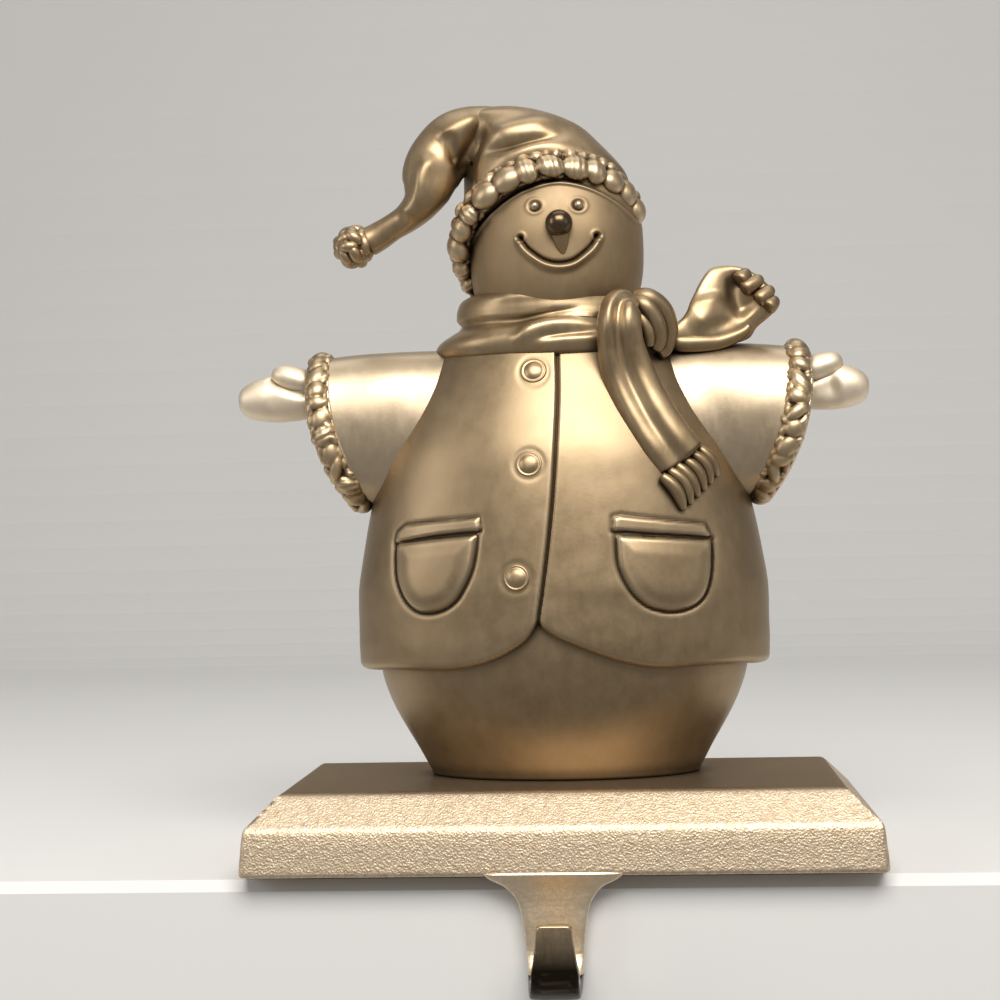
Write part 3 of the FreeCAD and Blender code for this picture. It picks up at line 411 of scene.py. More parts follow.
# A darker, rougher copy of the antique bronze for the head: painted shade that dims its highlight.
painted_shade_head_bronze = antique_metal("painted_shade_head_bronze", BRONZE_PATINA_AND_SHADE, (0.29, 0.202, 0.11), (0.49, 0.38, 0.242), 0.57)
# A lighter copy of the antique bronze for the sleeves, cuff rims and eyes: painted light.
painted_light_bronze = antique_metal(
    "painted_light_bronze", (0.06, 0.038, 0.018), (0.48, 0.375, 0.25), (0.71, 0.60, 0.44), 0.39)
# A lighter copy of the antique bronze for the mittens: painted light.
painted_light_mitt_bronze = antique_metal("painted_light_mitt_bronze", (0.09, 0.06, 0.03), (0.77, 0.65, 0.49), (0.96, 0.88, 0.73), 0.53)
nose_bronze = antique_metal(
    "nose_bronze", (0.02, 0.012, 0.006), (0.09, 0.060, 0.032), (0.17, 0.12, 0.07), 0.25)
rough_base = cast_metal("rough_cast_base", (0.52, 0.40, 0.275), (0.72, 0.595, 0.435), 0.50, 2600, 0.00012)
smooth_base = antique_metal(
    "smooth_base_top", (0.05, 0.033, 0.018), (0.35, 0.27, 0.185), (0.50, 0.38, 0.25), 0.45)
smooth_base.node_tree.nodes["Principled BSDF"].inputs["Specular Tint"].default_value = (0.25, 0.2, 0.15, 1)


# Belly and coat

DEPTH_RATIO = 0.6
BELLY_TOP = 36
FOOT_ROUND = 0.9
COAT_TOP = 90.0
COAT_LIP = 1.5
HEM_BEHIND = 21.5

# height and half width
belly_width = profile([
    (-1, 25.4), (0, 26.5), (5.25, 29.4), (8.3, 31.2), (11.3, 32.9), (14.3, 34.4), (17.3, 35.6), (20.3, 36.5),
    (26, 37.4), (33, 37.2), (40, 36)])
coat_width = profile([
    (20, 40.7), (24, 40.9), (27, 41.1), (31.5, 41.2), (35, 41.2), (38.4, 41.0), (44.5, 40.0), (50.5, 38.9),
    (57.5, 37.3), (64.6, 35.2), (72.5, 31.2), (78, 28.0), (82.1, 25.2), (90, 19)])
# place across and height
hem_line = profile([
    (-60, 21.4), (-41, 21.5), (-34, 21.8), (-27, 21.9), (-20.3, 22.1), (-14.5, 23.3), (-9.6, 25.3),
    (-6.1, 27.6), (-4.3, 30.0), (-3.8, 30.8), (-3.2, 30.0), (0.1, 27.8), (5.8, 25.4), (11.5, 23.4),
    (19.1, 21.8), (26.8, 21.9), (36, 21.8), (41, 21.5), (60, 21.4)])
# height and place across
seam_line = profile([
    (20, -4.2), (30.5, -3.9), (37.2, -2.9), (46.7, -1.6), (58.1, -0.4), (73.3, 0.5), (81.9, 0.5), (92, 0.4)])

LEFT_POCKET = [
    (-31.6, 47.0), (-31.7, 43.4), (-31.4, 39.5), (-29.9, 35.8), (-27.6, 33.6), (-24.9, 33.1), (-22.0, 33.8),
    (-19.6, 35.4), (-17.8, 38.0), (-16.4, 41.0), (-15.6, 44.4), (-15.2, 48.0)]
LEFT_BAND = [
    (-31.8, 46.6), (-31.4, 48.8), (-29.6, 50.2), (-22.0, 50.8), (-14.7, 51.1), (-14.5, 48.6), (-23.0, 47.9)]
RIGHT_POCKET = [
    (11.5, 47.4), (11.7, 42.5), (12.4, 39.8), (13.7, 37.2), (15.5, 35.0), (17.9, 33.4), (21.7, 32.6),
    (25.2, 33.2), (27.6, 34.9), (28.9, 37.6), (29.5, 41.2), (29.6, 46.2)]
RIGHT_BAND = [
    (10.8, 48.1), (10.9, 50.7), (12.2, 51.0), (20.0, 50.0), (28.4, 49.1), (29.6, 46.5), (20.0, 47.3)]
BUTTONS = [(-3.9, 79.3), (-4.9, 61.2), (-7.6, 39.6)]
# distance from the middle and rise above the coat
BUTTON_SECTION = [
    (2.6, -1.2), (2.6, 0.05), (2.5, 0.42), (2.27, 0.6), (2.03, 0.56), (1.85, 0.58), (1.5, 0.78), (1.0, 0.97),
    (0.5, 1.05), (0.02, 1.07)]


def front_heavy_angles(count, pull):
    """Angles round the body, closer together in front."""
    turn = TURN * (np.arange(count) / count - 0.5)
    return turn - pull * np.sin(turn) - math.pi / 2


def oval_form(angle, height, half_width):
    """Points of an oval body form and their level outward directions."""
    x = half_width * np.cos(angle)
    y = DEPTH_RATIO * half_width * np.sin(angle)
    outward = unit(np.stack([DEPTH_RATIO * np.cos(angle), np.sin(angle)], axis=-1))
    return np.stack([x, y, height], axis=-1), outward


def rolled_under(ring, outward, radius, steps):
    """Rings that turn a form's lower edge inward along a quarter circle, the lowest first."""
    rings = []
    for turn in np.linspace(0, math.pi / 2, steps + 1)[:0:-1]:
        lower = ring.copy()
        lower[:, :2] -= outward * (radius * (1 - math.cos(turn)))
        lower[:, 2] -= radius * math.sin(turn)
        rings.append(lower)
    return rings


def coat_relief(across, height, front):
    """How far the coat's surface stands proud of its plain form."""
    relief = np.zeros(across.shape)
    for pocket, band in ((LEFT_POCKET, LEFT_BAND), (RIGHT_POCKET, RIGHT_BAND)):
        inner = inside_distance(across, height, spline(pocket, 60))
        relief += 0.62 * smooth(-0.1, 0.8, inner) + 0.35 * smooth(0.3, 3.6, inner)
        relief -= 0.36 * hump(inner + 0.25, 0.40)
        mouth = inside_distance(across, height, band)
        raised = np.maximum(relief, 0) + 0.45 * smooth(-0.1, 0.4, mouth)
        relief = np.where(mouth > -0.5, raised, relief)
        lower_edge = spline([band[0], band[-1], band[-2]], 24)
        relief -= 0.36 * hump(line_distance(across, height, lower_edge), 0.34)
        relief -= 0.17 * hump(mouth + 0.2, 0.35) * (mouth < 0.1)
    for x, z in BUTTONS:
        radius = np.hypot(across - x, height - z)
        relief -= 0.12 * hump(radius - 2.8, 0.5)
    side = seam_line(height) - across
    relief += 0.5 * smooth(0.0, 0.45, side) * (1 - smooth(3, 22, side))
    relief -= 0.5 * hump(side + 0.22, 0.3)
    return relief * front


def make_coat():
    columns = 350
    rows = 162
    angle = front_heavy_angles(columns, 0.62)[None, :]
    hem = np.where(np.sin(angle) < 0.15, hem_line(40.9 * np.cos(angle)), HEM_BEHIND)
    share = np.linspace(0, 1, rows)[:, None]
    height = hem + COAT_LIP + (COAT_TOP - hem - COAT_LIP) * share
    points, outward = oval_form(angle, height, coat_width(height))
    relief = coat_relief(points[..., 0], height, smooth(0.2, 0.5, -outward[..., 1]))
    relief += 0.12 * wobble(points, 34, 3) + 0.02 * wobble(points, 9, 4)
    relief += 0.25 * smooth(0.13, 0.0, share)
    points[..., :2] += outward * relief[..., None]
    lip = rolled_under(points[0], outward[0], COAT_LIP, 8)
    under = lip[0].copy()
    under[:, :2] -= outward[0] * 4.0
    under[:, 2] += 0.6
    figure_piece("coat", np.array([under, *lip, *points]), painted_shade_coat_bronze, 7)


def make_belly():
    columns = 200
    rows = 75
    angle = front_heavy_angles(columns, 0.3)[None, :]
    height = np.linspace(FOOT_ROUND, BELLY_TOP, rows)[:, None] * np.ones_like(angle)
    points, outward = oval_form(angle, height, belly_width(height))
    points[..., :2] += outward * (0.15 * wobble(points, 24, 7))[..., None]
    foot = rolled_under(points[0], outward[0], FOOT_ROUND, 5)
    figure_piece("belly", np.array([*foot, *points]), painted_shade_coat_bronze, 5)


def coat_front(x, z, lift=0.0):
    """The point of the coat's front at a place seen from the front."""
    half = coat_width(z)
    return np.array([x, -DEPTH_RATIO * half * math.sqrt(max(0.0, 1 - (x / half) ** 2)) - lift, z])


def make_button(name, x, z):
    """A domed button with a rolled rim and a sunk ring inside it."""
    step = 0.5
    right = unit(coat_front(x + step, z) - coat_front(x - step, z))
    outward = unit(np.cross(right, coat_front(x, z + step) - coat_front(x, z - step)))
    upward = np.cross(outward, right)
    section = spline(BUTTON_SECTION, 34)
    cosine, sine = circle(60)
    ring = cosine[:, None] * right + sine[:, None] * upward
    away, rise = section.T[:, :, None, None]
    figure_piece(name, coat_front(x, z) + away * ring + rise * outward)


# Arms

BACKWARD = np.array([0, 1.0, 0])
CUFF_TOP = (47.4, 84.2)
CUFF_BOTTOM = (39.2, 54.6)
CUFF_HALF_DEPTH = 8.6


def cuff_axes(side):
    """Middle of the sleeve's opening, the direction up along it, the way out of it and its half-height."""
    top = np.array([side * CUFF_TOP[0], 0.0, CUFF_TOP[1]])
    bottom = np.array([side * CUFF_BOTTOM[0], 0.0, CUFF_BOTTOM[1]])
    upward = unit(top - bottom)
    outward = side * np.array([upward[2], 0, -upward[0]])
    return (top + bottom) / 2, upward, outward, np.linalg.norm(top - bottom) / 2


def make_sleeve(side, word):
    middle, upward, outward, half_height = cuff_axes(side)
    rings = 84
    cosine, sine = circle(144)
    # share of the way out, centre across, centre height, half height, half depth
    line = spline([
        (0.0, 12.0, 68.0, 17.2, 11.5), (0.25, 20.5, 68.6, 16.7, 10.8), (0.5, 29.0, 69.4, 16.0, 10.2),
        (0.75, 36.8, 69.4, 15.8, 9.7), (1.0, abs(middle[0]), middle[2], half_height, 9.4),
    ], rings)
    share = line[:, 0, None]
    up = unit(upward * share + np.array([0, 0, 1.0]) * (1 - share))
    centre = np.stack([side * line[:, 1], np.zeros(rings), line[:, 2]], axis=1)
    points = centre[:, None, :] + up[:, None, :] * (line[:, 3, None] * cosine)[..., None]
    points[..., 1] += line[:, 4, None] * np.sign(sine) * np.abs(sine) ** 0.85
    points += outward * (2.4 * share * (1 - cosine ** 2))[..., None]
    normal = outward_normals(points)
    relief = 0.12 * wobble(points, 24, 11 + side)
    relief += smooth(0.1, -0.3, normal[..., 1]) * strokes(points[..., 0] * side, points[..., 2], [
        ([(24, 79), (30, 73), (35, 64), (37, 58)], 3.0, -0.2, 0.25),
        ([(30, 82), (37, 76), (41, 68)], 4.0, 0.15, 0.25),
    ])
    points = points + normal * relief[..., None]
    rim = []
    edge = points[-1]
    for step in np.linspace(0, 1, 8)[1:]:
        rim.append(edge + (middle - edge) * (0.16 * step) + outward * (0.8 * math.sin(step * math.pi)))
    edge = rim[-1]
    for step in np.linspace(0, 1, 5)[1:]:
        rim.append(edge + (middle - edge) * 0.75 * step - outward * (2.2 * math.sin(step * math.pi / 2)))
    figure_piece(word + "_sleeve", np.array([*points, *rim]), painted_light_bronze)


def fur_ring(centre, out, axis, half_out, half_axis, lumps, seed, sides, lean=0.5):
    """A ring of carved fur: lumps of uneven size that crowd round a flattened tube.

    Each row of lumps is its turn round the tube, half its turn's width, its mean length and height.
    """
    rng = np.random.default_rng(seed)
    closed = np.vstack([centre, centre[:1]])
    arc = np.concatenate([[0], np.cumsum(np.linalg.norm(np.diff(closed, axis=0), axis=1))])
    length = arc[-1]
    turn = TURN * np.arange(sides) / sides
    travel = arc[:-1, None]
    relief = np.zeros((len(centre), sides))
    for middle_turn, half_turn, mean_length, height in lumps:
        start = rng.uniform(0, mean_length)
        while start < length + rng.uniform(0, 0.1):
            own = mean_length * rng.uniform(0.75, 1.3)
            tilt = rng.normal(0, lean)
            lump_turn = middle_turn + rng.normal(0, 0.10)
            angle = (turn[None, :] - lump_turn + math.pi) % TURN - math.pi
            gap = (travel - start - tilt * angle + length / 2) % length - length / 2
            reach = 1 - (gap / (0.56 * own)) ** 2 - (angle / (half_turn * rng.uniform(0.85, 1.15))) ** 2
            dome = np.sqrt(np.clip(reach, 0, 1)) * height * rng.uniform(0.8, 1.15)
            phase = rng.uniform(0, TURN)
            hair = 0.12 * rng.uniform(0, 1) ** 4 * np.sin(gap * TURN / 1.1 + 0.4 * angle + phase)
            relief = np.maximum(relief, dome + np.where(reach > 0.05, hair * smooth(0, 0.4, reach), 0))
            start += own * 0.93
    half_out = np.broadcast_to(half_out, len(centre))[:, None, None]
    half_axis = np.broadcast_to(half_axis, len(centre))[:, None, None]
    across = np.cos(turn)[None, :, None] * out[:, None, :]
    along = np.sin(turn)[None, :, None] * axis
    direction = unit(across / half_out + along / half_axis)
    return centre[:, None, :] + half_out * across + half_axis * along + direction * relief[..., None]


def fur_piece(name, points, material=None):
    """A carved fur ring as a finished object, its faces turned outward."""
    flat = points.reshape(-1, 3)
    faces = grid_faces(*points.shape[:2], joined=True)
    first = flat[faces[0]]
    normal = np.cross(first[1] - first[0], first[3] - first[0])
    if normal @ (first[0] - points[0].mean(axis=0)) < 0:
        faces = faces[:, ::-1]
    figure_piece(name, flat, material, 7, faces)


def make_cuff(side, word):
    middle, upward, outward, half_height = cuff_axes(side)
    half = half_height - 1.0
    cosine, sine = (part[:, None] for part in circle(310))
    centre = middle + upward * (half * cosine) + BACKWARD * (CUFF_HALF_DEPTH * sine)
    centre = centre + outward * (2.6 * sine ** 2 + 0.6)
    out = unit(upward * (CUFF_HALF_DEPTH * cosine) + BACKWARD * (half * sine))
    lumps = [(0.0, 1.15, 3.3, 1.05), (-0.9, 0.5, 2.4, 0.95), (0.95, 0.5, 2.2, 0.95), (2.0, 0.6, 3.0, 0.7)]
    fur_piece(word + "_cuff", fur_ring(centre, out, outward, 1.55, 2.05, lumps, 31 + side, 52, 1.1))
    edge = centre + outward * (2.3 * side)
    fur_piece(word + "_cuff_rim", fur_ring(edge, out, outward, 1.25, 0.5, [], 33, 12), painted_light_bronze)


def blob(centre, half, turn_degrees, rings, columns, power):
    """A closed oval form, turned in the front plane, as a grid from its inner to its outer end."""
    along, wide, high = globe(rings, columns, 0.012, power)
    x = half[0] * along
    z = half[2] * high
    tilt = math.radians(turn_degrees)
    return np.stack([centre[0] + x * math.cos(tilt) - z * math.sin(tilt), centre[1] + half[1] * wide,
                     centre[2] + x * math.sin(tilt) + z * math.cos(tilt)], axis=-1)


def make_mitt(side, word, tip, height, hollow, thumb_reach):
    """A cupped mitten with its thumb laid along the top."""
    palm_middle = np.array([side * (tip - 10.2), 0.0, height])
    palm = blob(palm_middle, (10.2, 4.0, 4.9), -4 * side, 72, 96, 3.0)
    relief = strokes((palm[..., 0] - palm_middle[0]) * side, palm[..., 2] - palm_middle[2], [
        ([(4.2, 5.0), (1.5, 2.6), (-2.0, 0.9), (-5.5, 0.2)], 1.0, -0.8, 0.2),
        ([(-4.0, -0.8), (1.0, -0.6), (5.0, 0.2)], 3.3, -hollow, 0.35),
    ])
    relief += 0.12 * wobble(palm, 8, 21 + side)
    palm[..., 1] -= relief * smooth(0, 2.4, -palm[..., 1])
    figure_piece(word + "_mitt", palm, painted_light_mitt_bronze, 5)
    thumb_middle = palm_middle + np.array([side * thumb_reach, -1.0, 3.5])
    thumb = blob(thumb_middle, (5.0, 3.3, 2.7), side * 18, 52, 64, 2.6)
    figure_piece(word + "_thumb", thumb, painted_light_mitt_bronze, 3)


# Head and cap

HEAD = np.array([0.3, 0.0, 104.6])
HEAD_HALF = (17.6, 15.5, 19.0)
HEAD_BOTTOM = 90.5
HEAD_TOP = 122.5
SMILE = [
    (-6.0, 105.6), (-5.1, 104.1), (-3.7, 102.7), (-1.3, 101.1), (1.4, 100.5), (4.2, 101.0), (6.7, 102.8),
    (8.0, 104.2), (8.8, 105.7)]
FOREHEAD = [
    (-17.6, 104.4), (-16.0, 106.6), (-13.6, 109.2), (-10.4, 111.8), (-6.1, 114.4), (-1.1, 116.0),
    (2.8, 116.2), (7.7, 115.0), (12.5, 112.5), (16.4, 109.5)]
EYES = [(-3.1, 111.7), (5.4, 111.7)]
CHEEKS = [(-6.5, 106.5), (9.5, 106.5)]
NOSE = (1.6, 108.2)

RIM = np.array([-1.5, 0.0, 107.6])
RIM_HALF = 17.3
RIM_SIDE_TILT = math.radians(16.0)
RIM_BACK_TILT = math.radians(45.0)
CAP_HEIGHT = 26.6


def head_front(x, z, lift=0.0):
    """The point of the face at a place seen from the front."""
    wide = (1 - min(abs(z - HEAD[2]) / HEAD_HALF[2], 0.99) ** 2.5) ** 0.4
    share = max(0.0, 1 - ((x - HEAD[0]) / (HEAD_HALF[0] * wide)) ** 2)
    return np.array([x, -HEAD_HALF[1] * wide * math.sqrt(share) - lift, z])


def face_relief(x, height):
    """How far the face stands proud of the head's plain form."""
    smile = spline(SMILE, 60)
    brow = spline(FOREHEAD, 60)
    lower = np.array([0, 1.0])
    relief = -0.8 * hump(line_distance(x, height, smile), 0.34)
    relief += 0.85 * hump(line_distance(x, height, smile - lower), 0.72) * (height < np.interp(x, *smile.T))
    relief += 0.5 * hump(line_distance(x, height, brow), 0.36)
    relief -= 0.25 * hump(line_distance(x, height, brow + lower), 0.6)
    relief += 1.1 * smooth(0.8, 3.0, height - np.interp(x, *brow.T)) * smooth(12.0, 5.0, x)
    for corner_x, corner_z in (SMILE[0], SMILE[-1]):
        radius = np.hypot(x - corner_x, height - corner_z)
        relief += -0.8 * hump(radius, 0.5) + 0.2 * hump(radius - 0.95, 0.3)
    for eye_x, eye_z in EYES:
        radius = np.hypot((x - eye_x) / 1.1, height - eye_z)
        relief += -0.3 * smooth(1.35, 0.6, radius) + 0.12 * hump(radius - 1.5, 0.33)
    for cheek_x, cheek_z in CHEEKS:
        relief += 0.35 * hump(np.hypot((x - cheek_x) / 1.3, height - cheek_z), 3.6)
    return relief


def make_head():
    columns = 330
    rows = 175
    angle = front_heavy_angles(columns, 0.72)[None, :]
    height = np.linspace(HEAD_BOTTOM, HEAD_TOP, rows)[:, None] * np.ones_like(angle)
    wide = (1 - (np.abs(height - HEAD[2]) / HEAD_HALF[2]).clip(0, 0.98) ** 2.5) ** 0.4
    x = HEAD[0] + HEAD_HALF[0] * wide * np.cos(angle)
    y = HEAD_HALF[1] * wide * np.sin(angle)
    outward = [np.cos(angle) / HEAD_HALF[0], np.sin(angle) / HEAD_HALF[1], np.zeros_like(angle)]
    outward = unit(np.stack(outward, axis=-1))
    points = np.stack([x, y, height], axis=-1)
    relief = face_relief(x, height) + 0.12 * wobble(points, 14, 41)
    points = points + outward * (relief * smooth(0.0, -0.4, np.sin(angle)))[..., None]
    figure_piece("head", points, painted_shade_head_bronze, 5)


def ball(name, centre, radius, material):
    up, wide, deep = globe(32, 48, 0.02)
    figure_piece(name, centre + radius * np.stack([wide, deep, up], axis=-1), material)


def make_face():
    for number, (x, z) in enumerate(EYES):
        ball("eye_%d" % number, head_front(x, z, 0.05), 0.88, painted_light_bronze)
    tip = head_front(NOSE[0], NOSE[1] - 0.3, 1.3)
    ball("nose_tip", tip, 2.68, nose_bronze)
    low = head_front(NOSE[0] + 0.65, NOSE[1] - 6.4, -0.5)
    stations = []
    for share, radius in ((0, 1.7), (0.3, 1.75), (0.6, 1.35), (0.85, 0.8), (1, 0.4)):
        stations.append((*(tip + (low - tip) * share), radius, radius * 0.95))
    figure_piece("carrot", sweep(stations, 48, 48), painted_shade_head_bronze)


def cap_axes(share):
    """Right, front and up directions of the cap's rim, tilted by a share of its full tilt."""
    side_tilt = RIM_SIDE_TILT * share
    back_tilt = RIM_BACK_TILT * share
    right = np.array([math.cos(side_tilt), 0, math.sin(side_tilt)])
    front = np.array([0, -math.cos(back_tilt), math.sin(back_tilt)])
    front = unit(front - right * (front @ right))
    return right, front, np.cross(front, right)


def make_crown():
    rings = 150
    columns = 280
    # share of the tilt, shift left, shift back, rise, half width, half depth
    stations = spline([
        (1.0, 0.0, 0.0, 0.0, 0.95, 0.94), (0.78, 0.1, 0.7, 0.17, 0.985, 0.915),
        (0.55, 0.3, 1.2, 0.335, 0.98, 0.87), (0.25, 2.7, 1.0, 0.625, 0.83, 0.71),
        (0.08, 5.0, 0.6, 0.82, 0.70, 0.53), (0.0, 7.6, 0.3, 0.935, 0.50, 0.38),
        (0.0, 9.0, 0.3, 0.985, 0.27, 0.20), (0.0, 9.6, 0.3, 0.999, 0.05, 0.04),
    ], rings)
    turn = front_heavy_angles(columns, 0.5)[:, None] + math.pi / 2
    points = np.empty((rings, columns, 3))
    for number, (tilt, left, back, rise, wide, deep) in enumerate(stations):
        right, front, _ = cap_axes(tilt)
        centre = RIM + np.array([-left, back, rise * CAP_HEIGHT])
        points[number] = centre + RIM_HALF * (right * wide * np.sin(turn) + front * deep * np.cos(turn))
    points = carve(points, (0.2, 16, 51), 0.25, [
        ([(-14.5, 125.6), (-9, 127.2), (-3, 128.6), (4, 129.8)], 2.3, 1.25, 0.35),
        ([(-15.2, 123.2), (-8, 124.3), (-3, 125.3), (4, 126.2)], 0.9, -1.0, 0.35),
        ([(-14, 119.8), (-8, 122.0), (-2, 123.8), (6, 124.2)], 1.6, 0.6, 0.35),
        ([(-12.5, 130.5), (-16, 125), (-17.5, 119), (-17.6, 113)], 1.7, -1.6, 0.25),
    ], [
        ([(12, 118), (4, 124), (-6, 127), (-14, 124)], 3.2, 1.1, 0.25),
        ([(10, 113), (2, 118), (-8, 120), (-15, 118)], 1.8, -0.8, 0.25),
    ])
    figure_piece("cap_crown", points, rounds=5)


def make_cap_tail():
    points = sweep([
        (-4.0, 0.2, 125.4, 6.2, 6.0), (-9.0, 0.0, 127.3, 6.6, 6.2), (-14.0, -0.4, 128.0, 6.5, 6.0),
        (-19.0, -0.9, 127.3, 6.5, 5.7), (-22.6, -1.6, 124.2, 6.3, 5.3), (-24.4, -3.0, 120.6, 6.0, 5.0),
        (-25.4, -4.1, 117.0, 4.9, 4.4), (-26.9, -4.2, 114.2, 3.6, 3.6), (-29.4, -3.5, 112.0, 2.9, 3.0),
        (-32.4, -2.8, 110.3, 2.7, 2.7), (-35.4, -2.1, 108.6, 2.9, 2.8), (-38.2, -2.0, 107.2, 3.0, 2.9),
    ], 180, 130)
    points = carve(points, (0.18, 12, 61), 0.3, [
        ([(-10.5, 132), (-14.2, 128.0), (-17.0, 123.0), (-18.4, 117.5)], 1.5, -1.7, 0.25),
        ([(-20.8, 128.5), (-19.8, 125.0), (-18.6, 121.5)], 1.0, -1.0, 0.25),
        ([(-13.5, 131.8), (-18.5, 129.5), (-22.8, 126.5)], 2.0, 0.75, 0.25),
        ([(-23.0, 124.5), (-25.6, 120.0), (-27.5, 114.5), (-31, 110.8)], 1.7, 1.0, 0.25),
        ([(-28.5, 121), (-27.7, 116), (-29.5, 112.6)], 1.3, -0.35, 0.25),
    ], [
        ([(-10, 130), (-17, 127), (-23, 120), (-25.5, 115)], 2.2, 0.8, 0.25),
    ])
    figure_piece("cap_tail", points)


def make_pompom():
    """A ball of yarn: strands in uneven tufts round the cap's tip."""
    rng = np.random.default_rng(71)
    tufts = 26
    up, wide, deep = globe(100, 120, 0.012)
    direction = np.stack([wide, deep, up], axis=-1)
    relief = np.zeros(up.shape)
    for number in range(tufts):
        level = 1 - 2 * (number + 0.5) / tufts
        spin = math.pi * (3 - math.sqrt(5)) * number + rng.normal(0, 0.15)
        reach = math.sqrt(1 - level ** 2)
        axis = np.array([reach * math.cos(spin), level, reach * math.sin(spin)])
        twist = rng.normal(size=3)
        along = unit(twist - axis * (twist @ axis))
        across = np.cross(axis, along)
        inside = 1 - (direction @ along / 0.62) ** 2 - (direction @ across / 0.33) ** 2
        dome = np.sqrt(np.clip(inside, 0, 1)) * rng.uniform(0.75, 1.15) * (direction @ axis > 0)
        relief = np.maximum(relief, dome)
    centre = np.array([-40.5, -2.0, 106.7])
    figure_piece("pompom", centre + direction * (3.35 + 1.2 * relief)[..., None])


def make_brim():
    right, front, up = cap_axes(1.0)
    cosine, sine = (part[:, None] for part in circle(470))
    tucked = 1 - 0.14 * smooth(0.05, -0.45, sine) * smooth(0.1, 0.5, cosine)
    centre = RIM + RIM_HALF * (right * tucked * cosine + front * sine)
    out = right * cosine + front * sine
    lumps = [(-0.85, 1.05, 4.3, 2.0), (0.3, 0.5, 2.5, 1.5), (0.95, 0.5, 2.9, 1.0), (-2.2, 0.5, 3.0, 0.7)]
    swell = 1 + 0.25 * smooth(0.35, 0.9, cosine[:, 0]) + 0.12 * smooth(0.4, 0.9, sine[:, 0])
    fur_piece("brim", fur_ring(centre, out, up, 1.3 * swell, 2.7 * swell, lumps, 83, 58))


# Scarf

COLLAR_BOTTOM = 81.6
COLLAR_HEIGHT = 14.2


def make_collar():
    """Two wraps of scarf that merge in front under a slanting fold."""
    columns = 320
    rows = 104
    turn = front_heavy_angles(columns, 0.55)[None, :]
    height = COLLAR_BOTTOM + COLLAR_HEIGHT * np.linspace(-0.04, 1.04, rows)[:, None]
    radius = profile([
        (80, 12), (81.4, 14.5), (82.2, 17.2), (83.6, 19.3), (86.2, 20.2), (88.2, 19.2), (89.6, 17.4),
        (91.2, 17.8), (93.0, 17.7), (94.8, 16.9), (95.8, 15.2), (96.4, 12.5)])
    wide = radius(height)
    low = smooth(92, 84, height)
    swell = 2.3 * smooth(88.0, 91.5, height) + 1.2 * smooth(90.0, 84.0, height)
    wide_x = wide + low * np.where(np.cos(turn) > 0, 2.0, 3.6) + swell * smooth(0.0, -0.7, np.cos(turn))
    wide_y = 0.78 * wide + low * 0.6
    x = wide_x * np.cos(turn)
    points = np.stack([x, wide_y * np.sin(turn), height * np.ones_like(turn)], axis=-1)
    normal = outward_normals(points)
    z = points[..., 2]
    relief = 0.2 * wobble(points, 15, 91)
    relief += smooth(0.2, -0.3, np.sin(turn)) * strokes(x, z, [
        ([(-8.5, 84.2), (-4.8, 87.4), (1.6, 89.0), (6, 89.8), (13, 90.6)], 1.4, 1.25, 0.3),
        ([(-13, 89.8), (-6, 90.0), (0, 91.0), (6, 91.7)], 0.6, -0.55, 0.35),
        ([(-5, 85.6), (0, 86.6), (6, 87.1), (14, 87.4)], 0.9, -0.7, 0.35),
        ([(-15, 94.3), (-6, 94.6), (3, 94.9), (12, 94.6)], 1.0, 0.4, 0.25),
    ])
    relief += smooth(-0.2, 0.3, np.sin(turn)) * strokes(x, z, [
        ([(-16, 87), (-6, 89.5), (5, 88.6), (15, 90)], 1.4, 0.8, 0.25),
    ])
    figure_piece("scarf_collar", points + normal * relief[..., None], rounds=5)


def folded_lengthwise(cosine, sine, share):
    """A scarf end's section: a narrow fold on the left, a valley, then a broad fold; plain behind."""
    dome = np.sqrt(1 - np.abs(cosine) ** 3)
    begun = smooth(0.02, 0.2, share)
    folds = 0.8 + 0.36 * begun * (1 - 0.4 * share) * hump(cosine + 0.6, 0.3)
    folds = folds - 0.36 * begun * (1 - 0.5 * share) * hump(cosine + 0.1 - 0.12 * share, 0.22)
    folds = folds + 0.14 * hump(cosine - 0.45, 0.34)
    return np.where(sine < 0, -dome * folds * np.abs(sine) ** 0.15, sine)


def make_hanging_tail():
    # place across, height, half width and lift above the coat
    places = [
        (15.0, 92.6, 2.4, 7.0), (13.4, 91.2, 3.9, 9.0), (12.9, 87.6, 4.3, 8.6), (13.1, 83.4, 4.6, 5.0),
        (14.2, 79.0, 5.0, 2.2), (16.1, 74.2, 5.2, 1.2), (18.5, 69.4, 5.2, 1.0), (21.3, 64.9, 5.3, 0.9),
        (24.3, 60.8, 5.4, 0.8)]
    stations = [(*coat_front(x, z, lift), half, 2.5) for x, z, half, lift in places]
    points = sweep(stations, 170, 136, folded_lengthwise)
    figure_piece("scarf_hanging_end", carve(points, (-0.14, 10, 101), 0.3, []), rounds=5)
    end = np.array([24.0, 60.6])
    run = np.array([0.58, -0.81])
    wide = np.array([0.81, 0.58])
    radii = (0.75, 1.15, 1.3, 1.25, 1.0, 0.45)
    for number in range(6):
        root = end - run * 0.6 + wide * ((number - 2.4) * 1.82)
        bend = 0.8 + 0.25 * math.sin(number * 2.1)
        length = 8.2 - 0.12 * number ** 1.5
        line = []
        for share, radius in zip(np.linspace(0, 1, len(radii)), radii):
            side = 1.15 * math.sin(share * math.pi * 1.05) - 0.5 * share
            spot = root + run * length * share + wide * side * bend
            lift = 1.3 - 0.5 * share + 0.5 * math.sin(share * math.pi)
            line.append((*coat_front(spot[0], spot[1], lift), radius, radius * 1.05))
        figure_piece("tassel_%d" % number, sweep(line, 44, 30))


